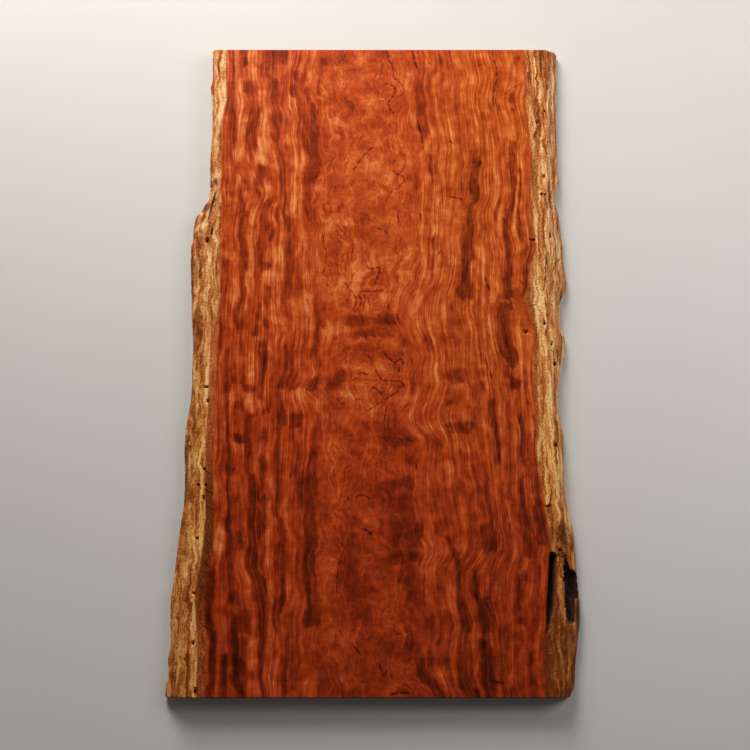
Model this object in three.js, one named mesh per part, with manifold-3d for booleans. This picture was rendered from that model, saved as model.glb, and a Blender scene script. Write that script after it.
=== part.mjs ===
// A bubinga slab tabletop: one flat-sawn plank with two straight sawn ends and two natural live edges.
// It lies face up. +X is across the slab, +Y runs from the foot end to the head end and +Z is up.
// The origin is the middle of the underside's footprint. Millimetres.
import * as THREE from "three";
import { mergeVertices } from "three/addons/utils/BufferGeometryUtils.js";
import Module from "manifold-3d";

const LENGTH = 2440; // sawn end to sawn end
const THICKNESS = 60;
const EASED = 2.5; // chamfer round both sawn ends
const WIDEST_HEIGHT = 16; // height of each live edge's widest line above the underside
const TUCK = 6; // how far a live edge turns back in below its widest line
const STATION_STEP = 20; // sections along the slab, closer together where a line turns sharply
const SLOPE_STEPS = 8; // facets from a face arris out to the widest line
const TUCK_STEPS = 3; // facets from the widest line in to the underside

// Each line is [distance from the foot end, distance from the pith line], read along the slab.
const LEFT_WIDEST = [
  [0, -725], [45, -721], [100, -718], [138, -719], [160, -713], [205, -714], [260, -717], [335, -720],
  [360, -715], [410, -711], [520, -701], [600, -693], [660, -688], [750, -686], [800, -688], [860, -692],
  [910, -691], [960, -687], [1000, -682], [1060, -676], [1120, -675], [1180, -677], [1250, -676],
  [1310, -681], [1390, -688], [1460, -691], [1540, -697], [1600, -699], [1640, -698], [1662, -693],
  [1700, -692], [1735, -690], [1750, -688], [1762, -682], [1776, -668], [1786, -660], [1800, -656],
  [1812, -644], [1824, -637], [1840, -635], [1870, -634], [1920, -637], [1995, -639], [2050, -634], [2140, -634],
  [2210, -637], [2262, -641], [2290, -647], [2306, -640], [2345, -638], [2395, -641], [2440, -648],
];
const LEFT_ARRIS = [
  [0, -652], [200, -650], [400, -645], [600, -636], [800, -630], [1000, -631], [1300, -632], [1500, -636],
  [1640, -638], [1735, -630], [1790, -620], [1850, -612], [2000, -616], [2200, -622], [2440, -631],
];
const RIGHT_WIDEST = [
  [0, 664], [12, 678], [30, 689], [100, 695], [150, 702], [200, 710], [250, 718], [320, 719], [400, 715],
  [500, 711], [560, 708], [600, 701], [650, 690], [700, 683], [790, 683], [850, 686], [895, 688],
  [945, 680], [1000, 674], [1045, 673], [1100, 679], [1150, 686], [1180, 690], [1188, 699], [1230, 706],
  [1270, 707], [1294, 703], [1306, 693], [1325, 689], [1370, 695], [1415, 696], [1440, 705], [1465, 718],
  [1495, 722], [1545, 714], [1600, 712], [1650, 714], [1680, 710], [1700, 706], [1750, 703], [1790, 697],
  [1820, 690], [1850, 693], [1880, 703], [1903, 711], [1925, 706], [1990, 705], [2060, 707], [2140, 707],
  [2200, 710], [2290, 715], [2400, 718], [2440, 725],
];
const RIGHT_ARRIS = [
  [0, 632], [60, 640], [150, 648], [300, 656], [480, 660], [600, 656], [800, 650], [1000, 640], [1150, 640],
  [1300, 636], [1500, 644], [1650, 652], [1850, 652], [2000, 658], [2200, 664], [2440, 672],
];
const SHARP_TURNS = [[1, 45], [1735, 1835], [1176, 1200], [1288, 1330], [1430, 1500], [2275, 2315]];
const SHARP_STEP = 10;

// Bark pockets near the foot, grown into the right edge. Each station is
// [distance from the foot end, inner wall, outer wall, depth below the surface there].
// The outer one breaks out through the live edge where its outer wall lies beyond the widest line.
const INNER_POCKET = [
  [208, 596, 600, 5], [225, 594, 604, 13], [250, 592, 612, 23], [300, 595, 627, 31], [350, 600, 634, 35],
  [400, 605, 637, 37], [450, 609, 640, 35], [478, 611, 640, 25], [490, 615, 632, 8],
];
const OUTER_POCKET = [
  [236, 676, 686, 6], [255, 669, 697, 14], [300, 664, 700, 24], [328, 663, 700, 28], [338, 662, 732, 30],
  [405, 661, 732, 30], [416, 661, 732, 26], [424, 662, 700, 20], [440, 663, 684, 14], [462, 663, 675, 10],
  [482, 664, 669, 5],
];
// The torn crevice along the left edge, below the ledge near the head.
const CREVICE = [
  [1722, -631, -625, 6], [1740, -632, -620, 13], [1775, -625, -612, 15], [1805, -618, -605, 14],
  [1835, -611, -600, 12], [1856, -607, -603, 5],
];

// Borer holes and small pits: [distance from the pith line, distance from the foot end, width, length].
const HOLES = [
  [628, 2129, 9, 14], [658, 2174, 6, 8], [646, 1907, 7, 10], [632, 1833, 8, 9], [646, 1832, 6, 7],
  [660, 1667, 6, 20], [593, 1650, 13, 6], [627, 1324, 9, 11], [556, 1291, 12, 9], [594, 1282, 6, 12],
  [650, 1246, 8, 13], [660, 1173, 12, 12], [650, 870, 13, 9], [610, 649, 12, 6], [650, 497, 8, 7],
  [-615, 20, 10, 20], [-628, 180, 9, 13], [-632, 349, 7, 8], [-626, 538, 8, 8], [-610, 680, 7, 11],
  [-604, 726, 7, 10], [-630, 728, 8, 8], [-612, 785, 7, 7], [-608, 1032, 7, 13], [-616, 1085, 18, 6],
  [-615, 1680, 6, 22], [-632, 1648, 12, 20],
];
const HOLE_DEPTH = 14;
const HOLE_SIDES = 8;
const HOLE_TAPER = 0.8; // width of a hole's floor as a share of its mouth
const CLEAR = 5; // how far a cutting solid stands out of the surface that it cuts

// The surface that was under the bark has flutes along the slab and low lumps.
const FLUTE_HEIGHT = 2.4;
const FLUTES_ACROSS = 2.1; // flutes from the face arris to the widest line
const FLUTE_DRIFT = 0.0016; // flutes that they wander sideways for each millimetre along the slab
const FLUTE_SWAY = 0.3; // flutes that they sway either way
const FLUTE_SWAY_RATE = 1 / 173; // radians of sway for each millimetre along the slab
const LUMP_HEIGHT = 2;
const LUMP_RATE = 1 / 34; // radians for each millimetre along the slab
const LUMP_FADE_RATE = 1 / 83; // and those of the longer wave that fades them in and out
const LUMP_LEAN = 2.6; // radians that a lump lags by from the face arris to the widest line
const LEFT_PHASE = 0.6;
const RIGHT_PHASE = 2.3;
const SLOPE_POWER = 1.7; // the slope's fall from the face, as a power of the share of the way out

// A hollow's floor, as [share of its width from the inner wall, share of its depth above the deepest line].
const HOLLOW_FLOOR = [[0, 0.25], [0.22, 0], [0.5, 0.12]];
const HOLLOW_LIP = 0.3; // share of its depth that the floor has climbed to at the outer wall

const wasm = await Module();
wasm.setup();

// A line's value at distance t, on a cubic that never swings past its points.
function along(line, t) {
  let i = 0;
  while (i < line.length - 2 && line[i + 1][0] < t) i += 1;
  const secant = (k) => (line[k + 1][1] - line[k][1]) / (line[k + 1][0] - line[k][0]);
  const slope = (k) => {
    if (k === 0) return secant(0);
    if (k === line.length - 1) return secant(k - 1);
    const [before, after] = [secant(k - 1), secant(k)];
    return before * after <= 0 ? 0 : (2 * before * after) / (before + after);
  };
  const [[t0, x0], [t1, x1]] = [line[i], line[i + 1]];
  const span = t1 - t0;
  const u = (t - t0) / span;
  const rise = u * u * (3 - 2 * u);
  const bend = u * (1 - u);
  return x0 + (x1 - x0) * rise + span * bend * (slope(i) * (1 - u) - slope(i + 1) * u);
}

// Flutes and lumps of the surface under the bark, out along the slope's own normal.
// s runs from 0 at the face arris to 1 at the widest line, where they die away.
function relief(s, t, phase) {
  const swell = Math.sin(Math.PI * s);
  const drift = FLUTE_DRIFT * t + FLUTE_SWAY * Math.sin(FLUTE_SWAY_RATE * t + phase);
  const flutes = Math.sin(2 * Math.PI * (FLUTES_ACROSS * s + drift) + phase);
  const lumps = Math.sin(LUMP_RATE * t + LUMP_LEAN * s + phase);
  const fade = Math.sin(LUMP_FADE_RATE * t - phase);
  return swell * (FLUTE_HEIGHT * flutes + LUMP_HEIGHT * lumps * fade);
}

// One live edge's section at distance t, from the face arris down to the underside, as [x, z] pairs.
function edgeSection(arris, widest, t, phase, inset) {
  const side = Math.sign(arris[0][1]);
  const from = along(arris, t) - side * inset;
  const to = along(widest, t) - side * inset;
  const reach = to - from;
  const drop = THICKNESS - inset - WIDEST_HEIGHT;
  const points = [];
  for (let k = 0; k <= SLOPE_STEPS; k += 1) {
    const s = k / SLOPE_STEPS;
    const turn = (s * Math.PI) / 2;
    const out = (s + Math.sin(turn)) / 2;
    const down = (s + 1 - Math.cos(turn)) / 2;
    const outSlope = (1 + (Math.PI / 2) * Math.cos(turn)) * Math.abs(reach);
    const downSlope = (1 + (Math.PI / 2) * Math.sin(turn)) * drop;
    const steep = Math.hypot(outSlope, downSlope);
    const raised = relief(s, t, phase);
    const x = from + reach * out + (side * raised * downSlope) / steep;
    const z = THICKNESS - inset - drop * down + (raised * outSlope) / steep;
    points.push([x, Math.min(z, THICKNESS - inset)]);
  }
  for (let k = 1; k <= TUCK_STEPS; k += 1) {
    const turn = (k / TUCK_STEPS) * (Math.PI / 2);
    const z = WIDEST_HEIGHT + (inset - WIDEST_HEIGHT) * Math.sin(turn);
    points.push([to - side * TUCK * (1 - Math.cos(turn)), z]);
  }
  return points;
}

// The whole section at distance t, going round from the left arris over the left edge.
function slabSection(t, inset = 0) {
  const left = edgeSection(LEFT_ARRIS, LEFT_WIDEST, t, LEFT_PHASE, inset);
  const right = edgeSection(RIGHT_ARRIS, RIGHT_WIDEST, t, RIGHT_PHASE, inset);
  return [...left, ...right.reverse()];
}

// A closed mesh through rings of [x, z] pairs, each at its own distance from the foot end.
function loft(rings) {
  const count = rings[0].points.length;
  const positions = rings.flatMap(({ t, points }) => points.flatMap(([x, z]) => [x, t - LENGTH / 2, z]));
  const index = [];
  for (let r = 0; r < rings.length - 1; r += 1) {
    for (let k = 0; k < count; k += 1) {
      const [a, b] = [r * count + k, r * count + ((k + 1) % count)];
      index.push(a, a + count, b, b, a + count, b + count);
    }
  }
  const cap = (points) =>
    THREE.ShapeUtils.triangulateShape(points.map(([x, z]) => new THREE.Vector2(x, z)), []);
  const last = (rings.length - 1) * count;
  for (const [a, b, c] of cap(rings[0].points)) index.push(a, b, c);
  for (const [a, b, c] of cap(rings.at(-1).points)) index.push(last + a, last + c, last + b);
  const geometry = new THREE.BufferGeometry();
  geometry.setAttribute("position", new THREE.Float32BufferAttribute(positions, 3));
  geometry.setIndex(index);
  return geometry;
}

// A closed three.js geometry as a solid that can be cut.
function solidOf(geometry) {
  const bare = geometry.clone();
  bare.deleteAttribute("normal");
  bare.deleteAttribute("uv");
  const merged = mergeVertices(bare, 1e-4);
  return new wasm.Manifold(
    new wasm.Mesh({
      numProp: 3,
      vertProperties: new Float32Array(merged.attributes.position.array),
      triVerts: new Uint32Array(merged.index.array),
    }),
  );
}

function geometryOf(solid) {
  const { vertProperties, triVerts, numProp } = solid.getMesh();
  const geometry = new THREE.BufferGeometry();
  geometry.setAttribute("position", new THREE.BufferAttribute(vertProperties, numProp));
  geometry.setIndex(new THREE.BufferAttribute(triVerts, 1));
  geometry.computeVertexNormals();
  return geometry;
}

// Height of the slab's upper surface at a place, without the flutes.
function surfaceHeight(x, t) {
  const [arris, widest] = x < 0 ? [LEFT_ARRIS, LEFT_WIDEST] : [RIGHT_ARRIS, RIGHT_WIDEST];
  const [from, to] = [along(arris, t), along(widest, t)];
  const share = THREE.MathUtils.clamp((x - from) / (to - from), 0, 1);
  return THICKNESS - (THICKNESS - WIDEST_HEIGHT) * share ** SLOPE_POWER;
}

// A hollow with a steep inner wall and a floor that climbs to its outer wall.
function hollow(stations) {
  const rings = stations.map(([t, inner, outer, depth]) => {
    const width = outer - inner;
    const floor = surfaceHeight(inner + width / 2, t) - depth;
    const wall = surfaceHeight(outer, t);
    const points = [
      [inner, THICKNESS + CLEAR],
      ...HOLLOW_FLOOR.map(([across, above]) => [inner + across * width, floor + above * depth]),
      [outer, Math.max(wall - HOLLOW_LIP * depth, floor + HOLLOW_LIP * depth)],
      [outer, THICKNESS + CLEAR],
    ];
    return { t, points };
  });
  return solidOf(loft(rings));
}

// A borer hole or pit, a little narrower at its floor.
function pit([x, t, width, length]) {
  const height = HOLE_DEPTH + CLEAR;
  const shaft = new THREE.CylinderGeometry(0.5, 0.5 * HOLE_TAPER, height, HOLE_SIDES);
  shaft.rotateX(Math.PI / 2);
  shaft.scale(width, length, 1);
  shaft.translate(x, t - LENGTH / 2, surfaceHeight(x, t) + CLEAR - height / 2);
  return solidOf(shaft);
}

// Distances of the sections from the foot end.
function stations() {
  const places = new Set([EASED, LENGTH - EASED]);
  for (let t = STATION_STEP; t < LENGTH; t += STATION_STEP) places.add(t);
  for (const [from, to] of SHARP_TURNS) {
    for (let t = Math.ceil(from / SHARP_STEP) * SHARP_STEP; t <= to; t += SHARP_STEP) places.add(t);
  }
  return [...places].sort((a, b) => a - b);
}

function makeSlab() {
  const rings = [
    { t: 0, points: slabSection(0, EASED) },
    ...stations().map((t) => ({ t, points: slabSection(t) })),
    { t: LENGTH, points: slabSection(LENGTH, EASED) },
  ];
  let solid = solidOf(loft(rings));
  for (const pocket of [INNER_POCKET, OUTER_POCKET, CREVICE]) solid = solid.subtract(hollow(pocket));
  for (const hole of HOLES) solid = solid.subtract(pit(hole));
  return geometryOf(solid);
}

const oiledHeartwood = new THREE.MeshStandardMaterial({ color: 0xa8431f, roughness: 0.42, metalness: 0 });
const slab = new THREE.Mesh(makeSlab(), oiledHeartwood);
slab.name = "slab";

const tabletop = new THREE.Group();
tabletop.add(slab);

export default tabletop;
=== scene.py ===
"""Looks of the bubinga slab tabletop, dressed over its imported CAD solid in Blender 4.5.

The slab lies face up with its foot end at -Y. Its surface is one closed grid: rows run along the slab and
columns run round its section. Lengths are in millimetres until a mesh is made, and t is the distance from
the foot end. The wood is one solid pattern of growth layers, so face, edges, ends and underside agree.
"""

import math

import bpy
import numpy as np
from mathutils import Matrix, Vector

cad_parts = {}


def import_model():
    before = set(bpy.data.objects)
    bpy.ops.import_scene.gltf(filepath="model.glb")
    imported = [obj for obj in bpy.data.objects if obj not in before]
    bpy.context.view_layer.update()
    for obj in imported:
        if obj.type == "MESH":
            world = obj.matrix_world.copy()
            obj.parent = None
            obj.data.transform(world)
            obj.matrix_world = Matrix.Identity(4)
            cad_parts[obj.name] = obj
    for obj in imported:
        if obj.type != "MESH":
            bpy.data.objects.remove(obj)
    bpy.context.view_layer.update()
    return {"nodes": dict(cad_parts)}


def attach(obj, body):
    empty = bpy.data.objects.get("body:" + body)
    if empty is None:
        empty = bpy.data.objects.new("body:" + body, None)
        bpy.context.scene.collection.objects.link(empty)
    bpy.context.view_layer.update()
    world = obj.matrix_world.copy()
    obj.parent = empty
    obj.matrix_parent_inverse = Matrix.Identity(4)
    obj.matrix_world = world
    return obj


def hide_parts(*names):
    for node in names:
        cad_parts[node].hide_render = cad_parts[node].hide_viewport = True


MM = 0.001

# Edge sections, as in the CAD solid
EASED = 2.5
WIDEST_HEIGHT = 16.0
TUCK = 6.0
FLUTE_HEIGHT = 2.4
FLUTES_ACROSS = 2.1
FLUTE_DRIFT = 0.0016
FLUTE_SWAY = 0.3
FLUTE_SWAY_RATE = 1 / 173
LUMP_HEIGHT = 2.0
LUMP_RATE = 1 / 34
LUMP_FADE_RATE = 1 / 83
LUMP_LEAN = 2.6
PHASES = {-1: 0.6, 1: 2.3}
SLOPE_POWER = 1.7
SECTION_SPACING = 10  # between the sections of the CAD solid
RING_POINTS = 24  # vertices of a whole section
POINTS_MISSING = 4  # how many a section may lack and still give its widest line
SAME_PLACE = 0.1  # heights and distances closer than this are the same

# Spacing of the grid
ROW_STEP = 7.0
FINE_ROW_STEP = 3.5
FINE_STRETCHES = [(195, 500), (1650, 1860)]
FACE_REACH = 544.0  # the evenly spaced columns of the face end here on both sides
INNER_COLUMNS = 68
WALL_COLUMNS = 5  # from there to the wall line
RIM_COLUMNS = 9  # from the wall line to the face arris, closing up towards it
CLOSING_POWER = 1.3
WALL_GAP = 0.7  # half the width of the steep strip at the wall line
SLOPE_COLUMNS = 18
TUCK_COLUMNS = 3
UNDER_COLUMNS = 10
TYPICAL_WALL = 600.0
TYPICAL_ARRIS = 640.0

# Line along which a column pair stands close together, so that the inner pocket's wall is sharp
WALL_LINE = [
    (0, 600), (205, 596), (225, 594), (250, 592), (300, 595), (350, 600), (400, 605), (450, 609), (478, 611),
    (492, 615), (540, 600), (2440, 600),
]

# Bark pockets and the torn crevice, as in the CAD solid: distance along, inner wall, outer wall, depth
INNER_POCKET = [
    (208, 596, 600, 5), (225, 594, 604, 13), (250, 592, 612, 23), (300, 595, 627, 31), (350, 600, 634, 35),
    (400, 605, 637, 37), (450, 609, 640, 35), (478, 611, 640, 25), (490, 615, 632, 8),
]
OUTER_POCKET = [
    (236, 676, 686, 6), (255, 669, 697, 14), (300, 664, 700, 24), (328, 663, 700, 28), (338, 662, 732, 30),
    (405, 661, 732, 30), (416, 661, 732, 26), (424, 662, 700, 20), (440, 663, 684, 14), (462, 663, 675, 10),
    (482, 664, 669, 5),
]
CREVICE = [
    (1722, -631, -625, 6), (1740, -632, -620, 13), (1775, -625, -612, 15), (1805, -618, -605, 14),
    (1835, -611, -600, 12), (1856, -607, -603, 5),
]
HOLLOW_FLOOR = [(0.0, 0.25), (0.22, 0.0), (0.5, 0.12)]
HOLLOW_LIP = 0.3
HOLLOW_SHADE_END = 0.45  # share of the way out over which a hollow's painted shade is darkest
FULL_SHADE_DEPTH = 12.0  # a hollow this deep gets its darkest painted shade
LEAST_SINK = 0.5
LEAST_FLOOR = 4.0
CREVICE_RISE = 8.0
OUTSIDE = 1e3

# Borer holes and small pits: distance from the pith line, distance along, width, length
HOLES = [
    (628, 2129, 9, 14), (658, 2174, 6, 8), (646, 1907, 7, 10), (632, 1833, 8, 9), (646, 1832, 6, 7),
    (660, 1667, 6, 20), (593, 1650, 13, 6), (627, 1324, 9, 11), (556, 1291, 12, 9), (594, 1282, 6, 12),
    (650, 1246, 8, 13), (660, 1173, 12, 12), (650, 870, 13, 9), (610, 649, 12, 6), (650, 497, 8, 7),
    (-615, 20, 10, 20), (-628, 180, 9, 13), (-632, 349, 7, 8), (-626, 538, 8, 8), (-610, 680, 7, 11),
    (-604, 726, 7, 10), (-630, 728, 8, 8), (-612, 785, 7, 7), (-608, 1032, 7, 13), (-616, 1085, 18, 6),
    (-615, 1680, 6, 22), (-632, 1648, 12, 20),
]
HOLE_DEPTH = 12.0
DENT_REACH = 0.6  # half size of a dent at its rim, in hole widths
DENT_CORE = 1.25  # above 1, so that its bottom is flat

# Smaller dark specks, too small for the solid
SPECKS = [
    (618, 2383, 5, 6), (651, 990, 5, 6), (658, 957, 6, 7), (577, 1272, 6, 6), (641, 1203, 8, 4),
    (656, 1215, 4, 9), (-667, 98, 7, 7), (-597, 146, 11, 5), (-624, 1197, 6, 6), (-598, 1182, 6, 5),
    (-643, 1025, 7, 6), (-625, 880, 6, 5), (-612, 862, 5, 6), (-634, 1084, 9, 5), (-606, 1875, 9, 10),
    (644, 482, 12, 9), (658, 474, 12, 12), (662, 488, 8, 7), (622, 296, 9, 6),
]

# Checks and seams, as chains of (x, distance along, half width)
CHECKS = [
    [(-613, 784, 3.4), (-586, 765, 3)],
    [(-606, 713, 3.4), (-575, 692, 3)],
    [(-600, 655, 3), (-571, 636, 2.6)],
    [(-597, 535, 3), (-579, 518, 2.8)],
    [(-601, 457, 3), (-574, 436, 3)],
    [(-595, 336, 3), (-571, 315, 3)],
    [(-595, 240, 3), (-565, 221, 2.6)],
    [(596, 1657, 2.5), (605, 1649, 2.5)],
    [(574, 1392, 2), (596, 1396, 2)],
    [(700, 1587, 2), (672, 1552, 2), (664, 1520, 1.5)],
    [(667, 1850, 2), (664, 1772, 2)],
    [(653, 1602, 2), (644, 1584, 2.2), (638, 1548, 2), (636, 1512, 2.2), (633, 1476, 2), (625, 1447, 1.6)],
    [(630, 1425, 1.8), (636, 1390, 1.4)],
    [(694, 1750, 2), (692, 1682, 2)],
    [(643, 1228, 2), (655, 1215, 2), (656, 1195, 2), (662, 1176, 2)],
    [(648, 2440, 3), (650, 2330, 2.5)],
    [(590, 232, 3), (600, 212, 3), (603, 190, 3)],
    [(-604, 1850, 2), (-612, 1800, 2.5), (-624, 1748, 2)],
    [(-615, 1700, 2), (-617, 1672, 2)],
]

# Brown stains of the pale wood, as [x, t, half width, half length, strength]
STAINS = [
    (664, 552, 30, 58, 1.4), (694, 520, 14, 50, 1.0), (640, 500, 16, 20, 0.6), (715, 272, 20, 84, 1.3),
    (656, 350, 12, 120, 0.35), (684, 205, 24, 34, 0.7), (640, 620, 16, 40, 0.4), (655, 150, 20, 34, 0.5),
    (-655, 1648, 20, 26, 0.7), (-686, 1600, 14, 10, 0.8), (-607, 1880, 14, 20, 0.95),
    (-655, 1744, 26, 17, 0.75), (-645, 1785, 20, 30, 1.0), (-622, 1650, 12, 50, 0.45),
    (-596, 900, 12, 300, 0.3), (-690, 480, 16, 130, 0.3), (-672, 690, 14, 60, 0.55),
    (-640, 700, 10, 40, 0.4), (692, 1690, 9, 90, 0.6), (668, 1810, 8, 60, 0.5), (645, 1560, 12, 110, 0.5),
    (650, 2370, 9, 80, 0.45), (690, 2330, 10, 60, 0.35), (612, 2200, 7, 60, 0.35), (676, 1300, 12, 50, 0.4),
    (690, 1260, 12, 40, 0.45), (560, 1345, 16, 95, 0.5), (700, 1530, 10, 50, 0.35),
]
STAIN_REACH = 1.35  # where a stain ends, in its half sizes

# Where the heartwood ends on the face, as (distance along, distance from the pith line)
LEFT_HEART = [
    (0, -578), (200, -578), (250, -586), (300, -592), (380, -590), (440, -582), (500, -571), (560, -567),
    (620, -568), (680, -571), (760, -575), (900, -577), (1100, -577), (1250, -578), (1350, -572),
    (1450, -572), (1550, -576), (1650, -580), (1750, -578), (1800, -578), (1865, -588), (1905, -583),
    (1980, -588), (2050, -586), (2140, -587), (2200, -575), (2240, -572), (2345, -578), (2440, -580),
]
RIGHT_HEART = [
    (0, 578), (150, 581), (250, 591), (350, 596), (450, 609), (500, 612), (551, 612), (586, 607), (620, 603),
    (688, 595), (757, 583), (860, 577), (950, 579), (1050, 575), (1180, 571), (1250, 582), (1340, 578),
    (1390, 561), (1420, 551), (1450, 563), (1500, 571), (1545, 576), (1575, 587), (1620, 604), (1665, 593),
    (1750, 586), (1850, 583), (1900, 587), (1945, 592), (2050, 591), (2150, 588), (2240, 578), (2300, 586),
    (2370, 594), (2440, 583),
]

# Lightness of the sapwood, as (distance along, lightness)
SAP_LIGHT_LEFT = [
    (0, 0.49), (150, 0.51), (400, 0.52), (650, 0.53), (900, 0.54), (1200, 0.53), (1500, 0.50), (1650, 0.51),
    (1780, 0.46), (1880, 0.47), (1960, 0.56), (2100, 0.58), (2300, 0.56), (2440, 0.55),
]
SAP_LIGHT_RIGHT = [
    (0, 0.03), (150, 0.06), (300, 0.28), (450, 0.42), (600, 0.50), (700, 0.61), (1000, 0.64), (1250, 0.60),
    (1500, 0.56), (1750, 0.50), (1900, 0.47), (2150, 0.46), (2440, 0.43),
]

# Width of the brown wood between heartwood and sapwood, as (distance along, width)
BROWN_WIDTH_LEFT = [(0, 34), (600, 34), (1100, 30), (1300, 28), (1420, 5), (2440, 2)]
BROWN_WIDTH_RIGHT = [
    (0, 18), (400, 14), (600, 6), (850, 6), (950, 20), (1250, 22), (1330, 14), (1360, 24), (1420, 20),
    (1480, 6), (1650, 4), (1750, 12), (2000, 10), (2060, 4), (2440, 3),
]

# Lightness of that wood, as (distance along, lightness)
BROWN_LIGHT_LEFT = [
    (0, 0.42), (200, 0.54), (300, 0.32), (400, 0.12), (700, 0.12), (800, 0.42), (900, 0.54), (1000, 0.60),
    (1200, 0.82), (1300, 0.64), (2440, 0.60),
]
BROWN_LIGHT_RIGHT = [
    (0, 0.20), (300, 0.25), (550, 0.35), (800, 0.60), (1300, 0.55), (1700, 0.40), (2440, 0.45),
]

# Pale ridges of the sapwood, partly pale wood and partly painted highlight where the ridges face the light:
# [x, distance along, half width, half length, turn, strength, softness]
SAP_PALE_AND_HIGHLIT = [
    (-655, 1718, 14, 10, 0, 0.35, 0.7), (-620, 525, 11, 76, 0, 0.25, 0.7), (-672, 470, 6, 50, 0, 0.2, 0.7),
    (634, 1000, 7, 100, 0, 0.2, 0.7), (651, 800, 7, 50, 0, 0.2, 0.7), (690, 1900, 14, 60, 0, 0.3, 0.7),
    (-608, 925, 8, 275, 0, 0.2, 0.7),
]

# How the figure lies in the wood
HEART_AVERAGE = 582.0  # how far out the heartwood ends on average
EDGE_FADE = 7.0  # width over which a band's edge fades
BROWN_FADE = 10.0  # and that over which the brown wood's outer edge does
LAST_PLACE = 2430.0  # a band that reaches this far along runs out through the head end
SPREAD = 0.09  # how much wider the heartwood is at the underside
DRIFT = 45.0  # how far the figure moves along between the face and the underside
SWAY = 10.0  # how far it moves across
SWAY_LENGTH = 190.0

# Rounding of lines: spacing of the points that are averaged, and their number
LAID_LINE_STEP = 2.0
LAID_LINE_WINDOW = 13
EDGE_LINE_STEP = 4.0
EDGE_LINE_WINDOW = 5
SPARE_AT_ENDS = 60

# Random fields, as (cell across, cell along, seed, reach in millimetres)
WAVY_FIGURE = (60, 65, 33, 7.0)
RAGGED_ACROSS = (24, 30, 31, 2.0)
RAGGED_ALONG = (12, 40, 32, 10.0)
HOLLOW_GRAIN = (5, 16, 5, 1.5)
TORN_ACROSS = (14, 9, 71, 2.5)
TORN_ALONG = (9, 16, 72, 7.0)
CREVICE_LUMPS = (30, 17, 73, 4.5)

# Random fields of the live edges, whose slope counts as SLOPE_CELLS across. The side, -1 or 1, is added to
# the seed, so that the two edges differ.
SLOPE_CELLS = 90
EDGE_WOBBLES = [(1, 13, 51, 1.1), (1, 31, 61, 0.66)]
EDGE_FIBRES = [(7, 70, 11, 1.3), (16, 26, 21, 1.2)]
WOBBLE_FADE = 5e4  # the wobble is whole where the distances from both ends have this product


def rounded(values, points):
    """Values averaged with their neighbours under a cosine window of so many points."""
    window = np.hanning(points)
    padded = np.pad(values, points // 2, mode="edge")
    return np.convolve(padded, window / window.sum(), mode="valid")


def along(line, t):
    """A given line's value at distances t: straight between its points, and rounded there."""
    places, values = np.array(sorted(line), float).T
    fine = np.arange(places[0] - SPARE_AT_ENDS, places[-1] + SPARE_AT_ENDS + 1, LAID_LINE_STEP)
    return np.interp(t, fine, rounded(np.interp(fine, places, values), LAID_LINE_WINDOW))


def smooth_share(value):
    """0 below 0, 1 above 1, and 3u^2 - 2u^3 between."""
    u = np.clip(value, 0, 1)
    return u * u * (3 - 2 * u)


def random_field(x, y, kind, seed_shift=0):
    """A smooth random field from -reach to reach: random values on a lattice, blended by 3u^2 - 2u^3."""
    cell_x, cell_y, seed, reach = kind
    rng = np.random.default_rng(seed + seed_shift)
    u = (x - x.min()) / cell_x
    v = (y - y.min()) / cell_y
    values = rng.uniform(-1, 1, (int(v.max()) + 2, int(u.max()) + 2))
    column, row = np.floor(u).astype(int), np.floor(v).astype(int)
    u, v = smooth_share(u - column), smooth_share(v - row)
    low = values[row, column] * (1 - u) + values[row, column + 1] * u
    high = values[row + 1, column] * (1 - u) + values[row + 1, column + 1] * u
    return reach * (low * (1 - v) + high * v)


def read_frame(node):
    """Length, thickness and both sides' widest lines and face arrises, from the CAD solid's own sections.

    A section is the set of vertices at one Y. The widest points are read from nearly whole rings, and the
    arrises only from rings that no hole or hollow touches, with straight lines between them.
    """
    points = np.empty(len(node.data.vertices) * 3)
    node.data.vertices.foreach_get("co", points)
    points = np.unique((points.reshape(-1, 3) / MM).round(2), axis=0)
    length, thickness = points[:, 1].max() * 2, points[:, 2].max()
    widest, arrises = [], []
    for y in np.arange(-length / 2 + SECTION_SPACING, length / 2, SECTION_SPACING):
        ring = points[np.abs(points[:, 1] - y) < SAME_PLACE]
        face = ring[ring[:, 2] > thickness - SAME_PLACE]
        if len(ring) >= RING_POINTS - POINTS_MISSING:
            widest.append((y + length / 2, ring[:, 0].min(), ring[:, 0].max()))
        if len(ring) == RING_POINTS and len(face) == 2:
            arrises.append((y + length / 2, face[:, 0].min(), face[:, 0].max()))
    t, left, right = np.array(widest).T
    whole_t, left_arris, right_arris = np.array(arrises).T
    lines = {
        -1: (t, left, np.interp(t, whole_t, left_arris)),
        1: (t, right, np.interp(t, whole_t, right_arris)),
    }
    return length, thickness, lines


def row_places(length):
    """Distances of the grid's rows: fine steps in the fine stretches, and the eased ends' own rows."""
    places = [0.0, EASED]
    while places[-1] < length - EASED - ROW_STEP:
        fine = any(low <= places[-1] < high for low, high in FINE_STRETCHES)
        places.append(places[-1] + (FINE_ROW_STEP if fine else ROW_STEP))
    return np.array(places + [length - EASED, length])


def relief(s, t, phase):
    """Flutes along the slab and low lumps, as sines of s and t that die away at s = 0 and s = 1."""
    drift = FLUTE_DRIFT * t + FLUTE_SWAY * np.sin(FLUTE_SWAY_RATE * t + phase)
    flutes = np.sin(2 * np.pi * (FLUTES_ACROSS * s + drift) + phase)
    lumps = np.sin(LUMP_RATE * t + LUMP_LEAN * s + phase) * np.sin(LUMP_FADE_RATE * t - phase)
    return np.sin(np.pi * s) * (FLUTE_HEIGHT * flutes + LUMP_HEIGHT * lumps)


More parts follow.
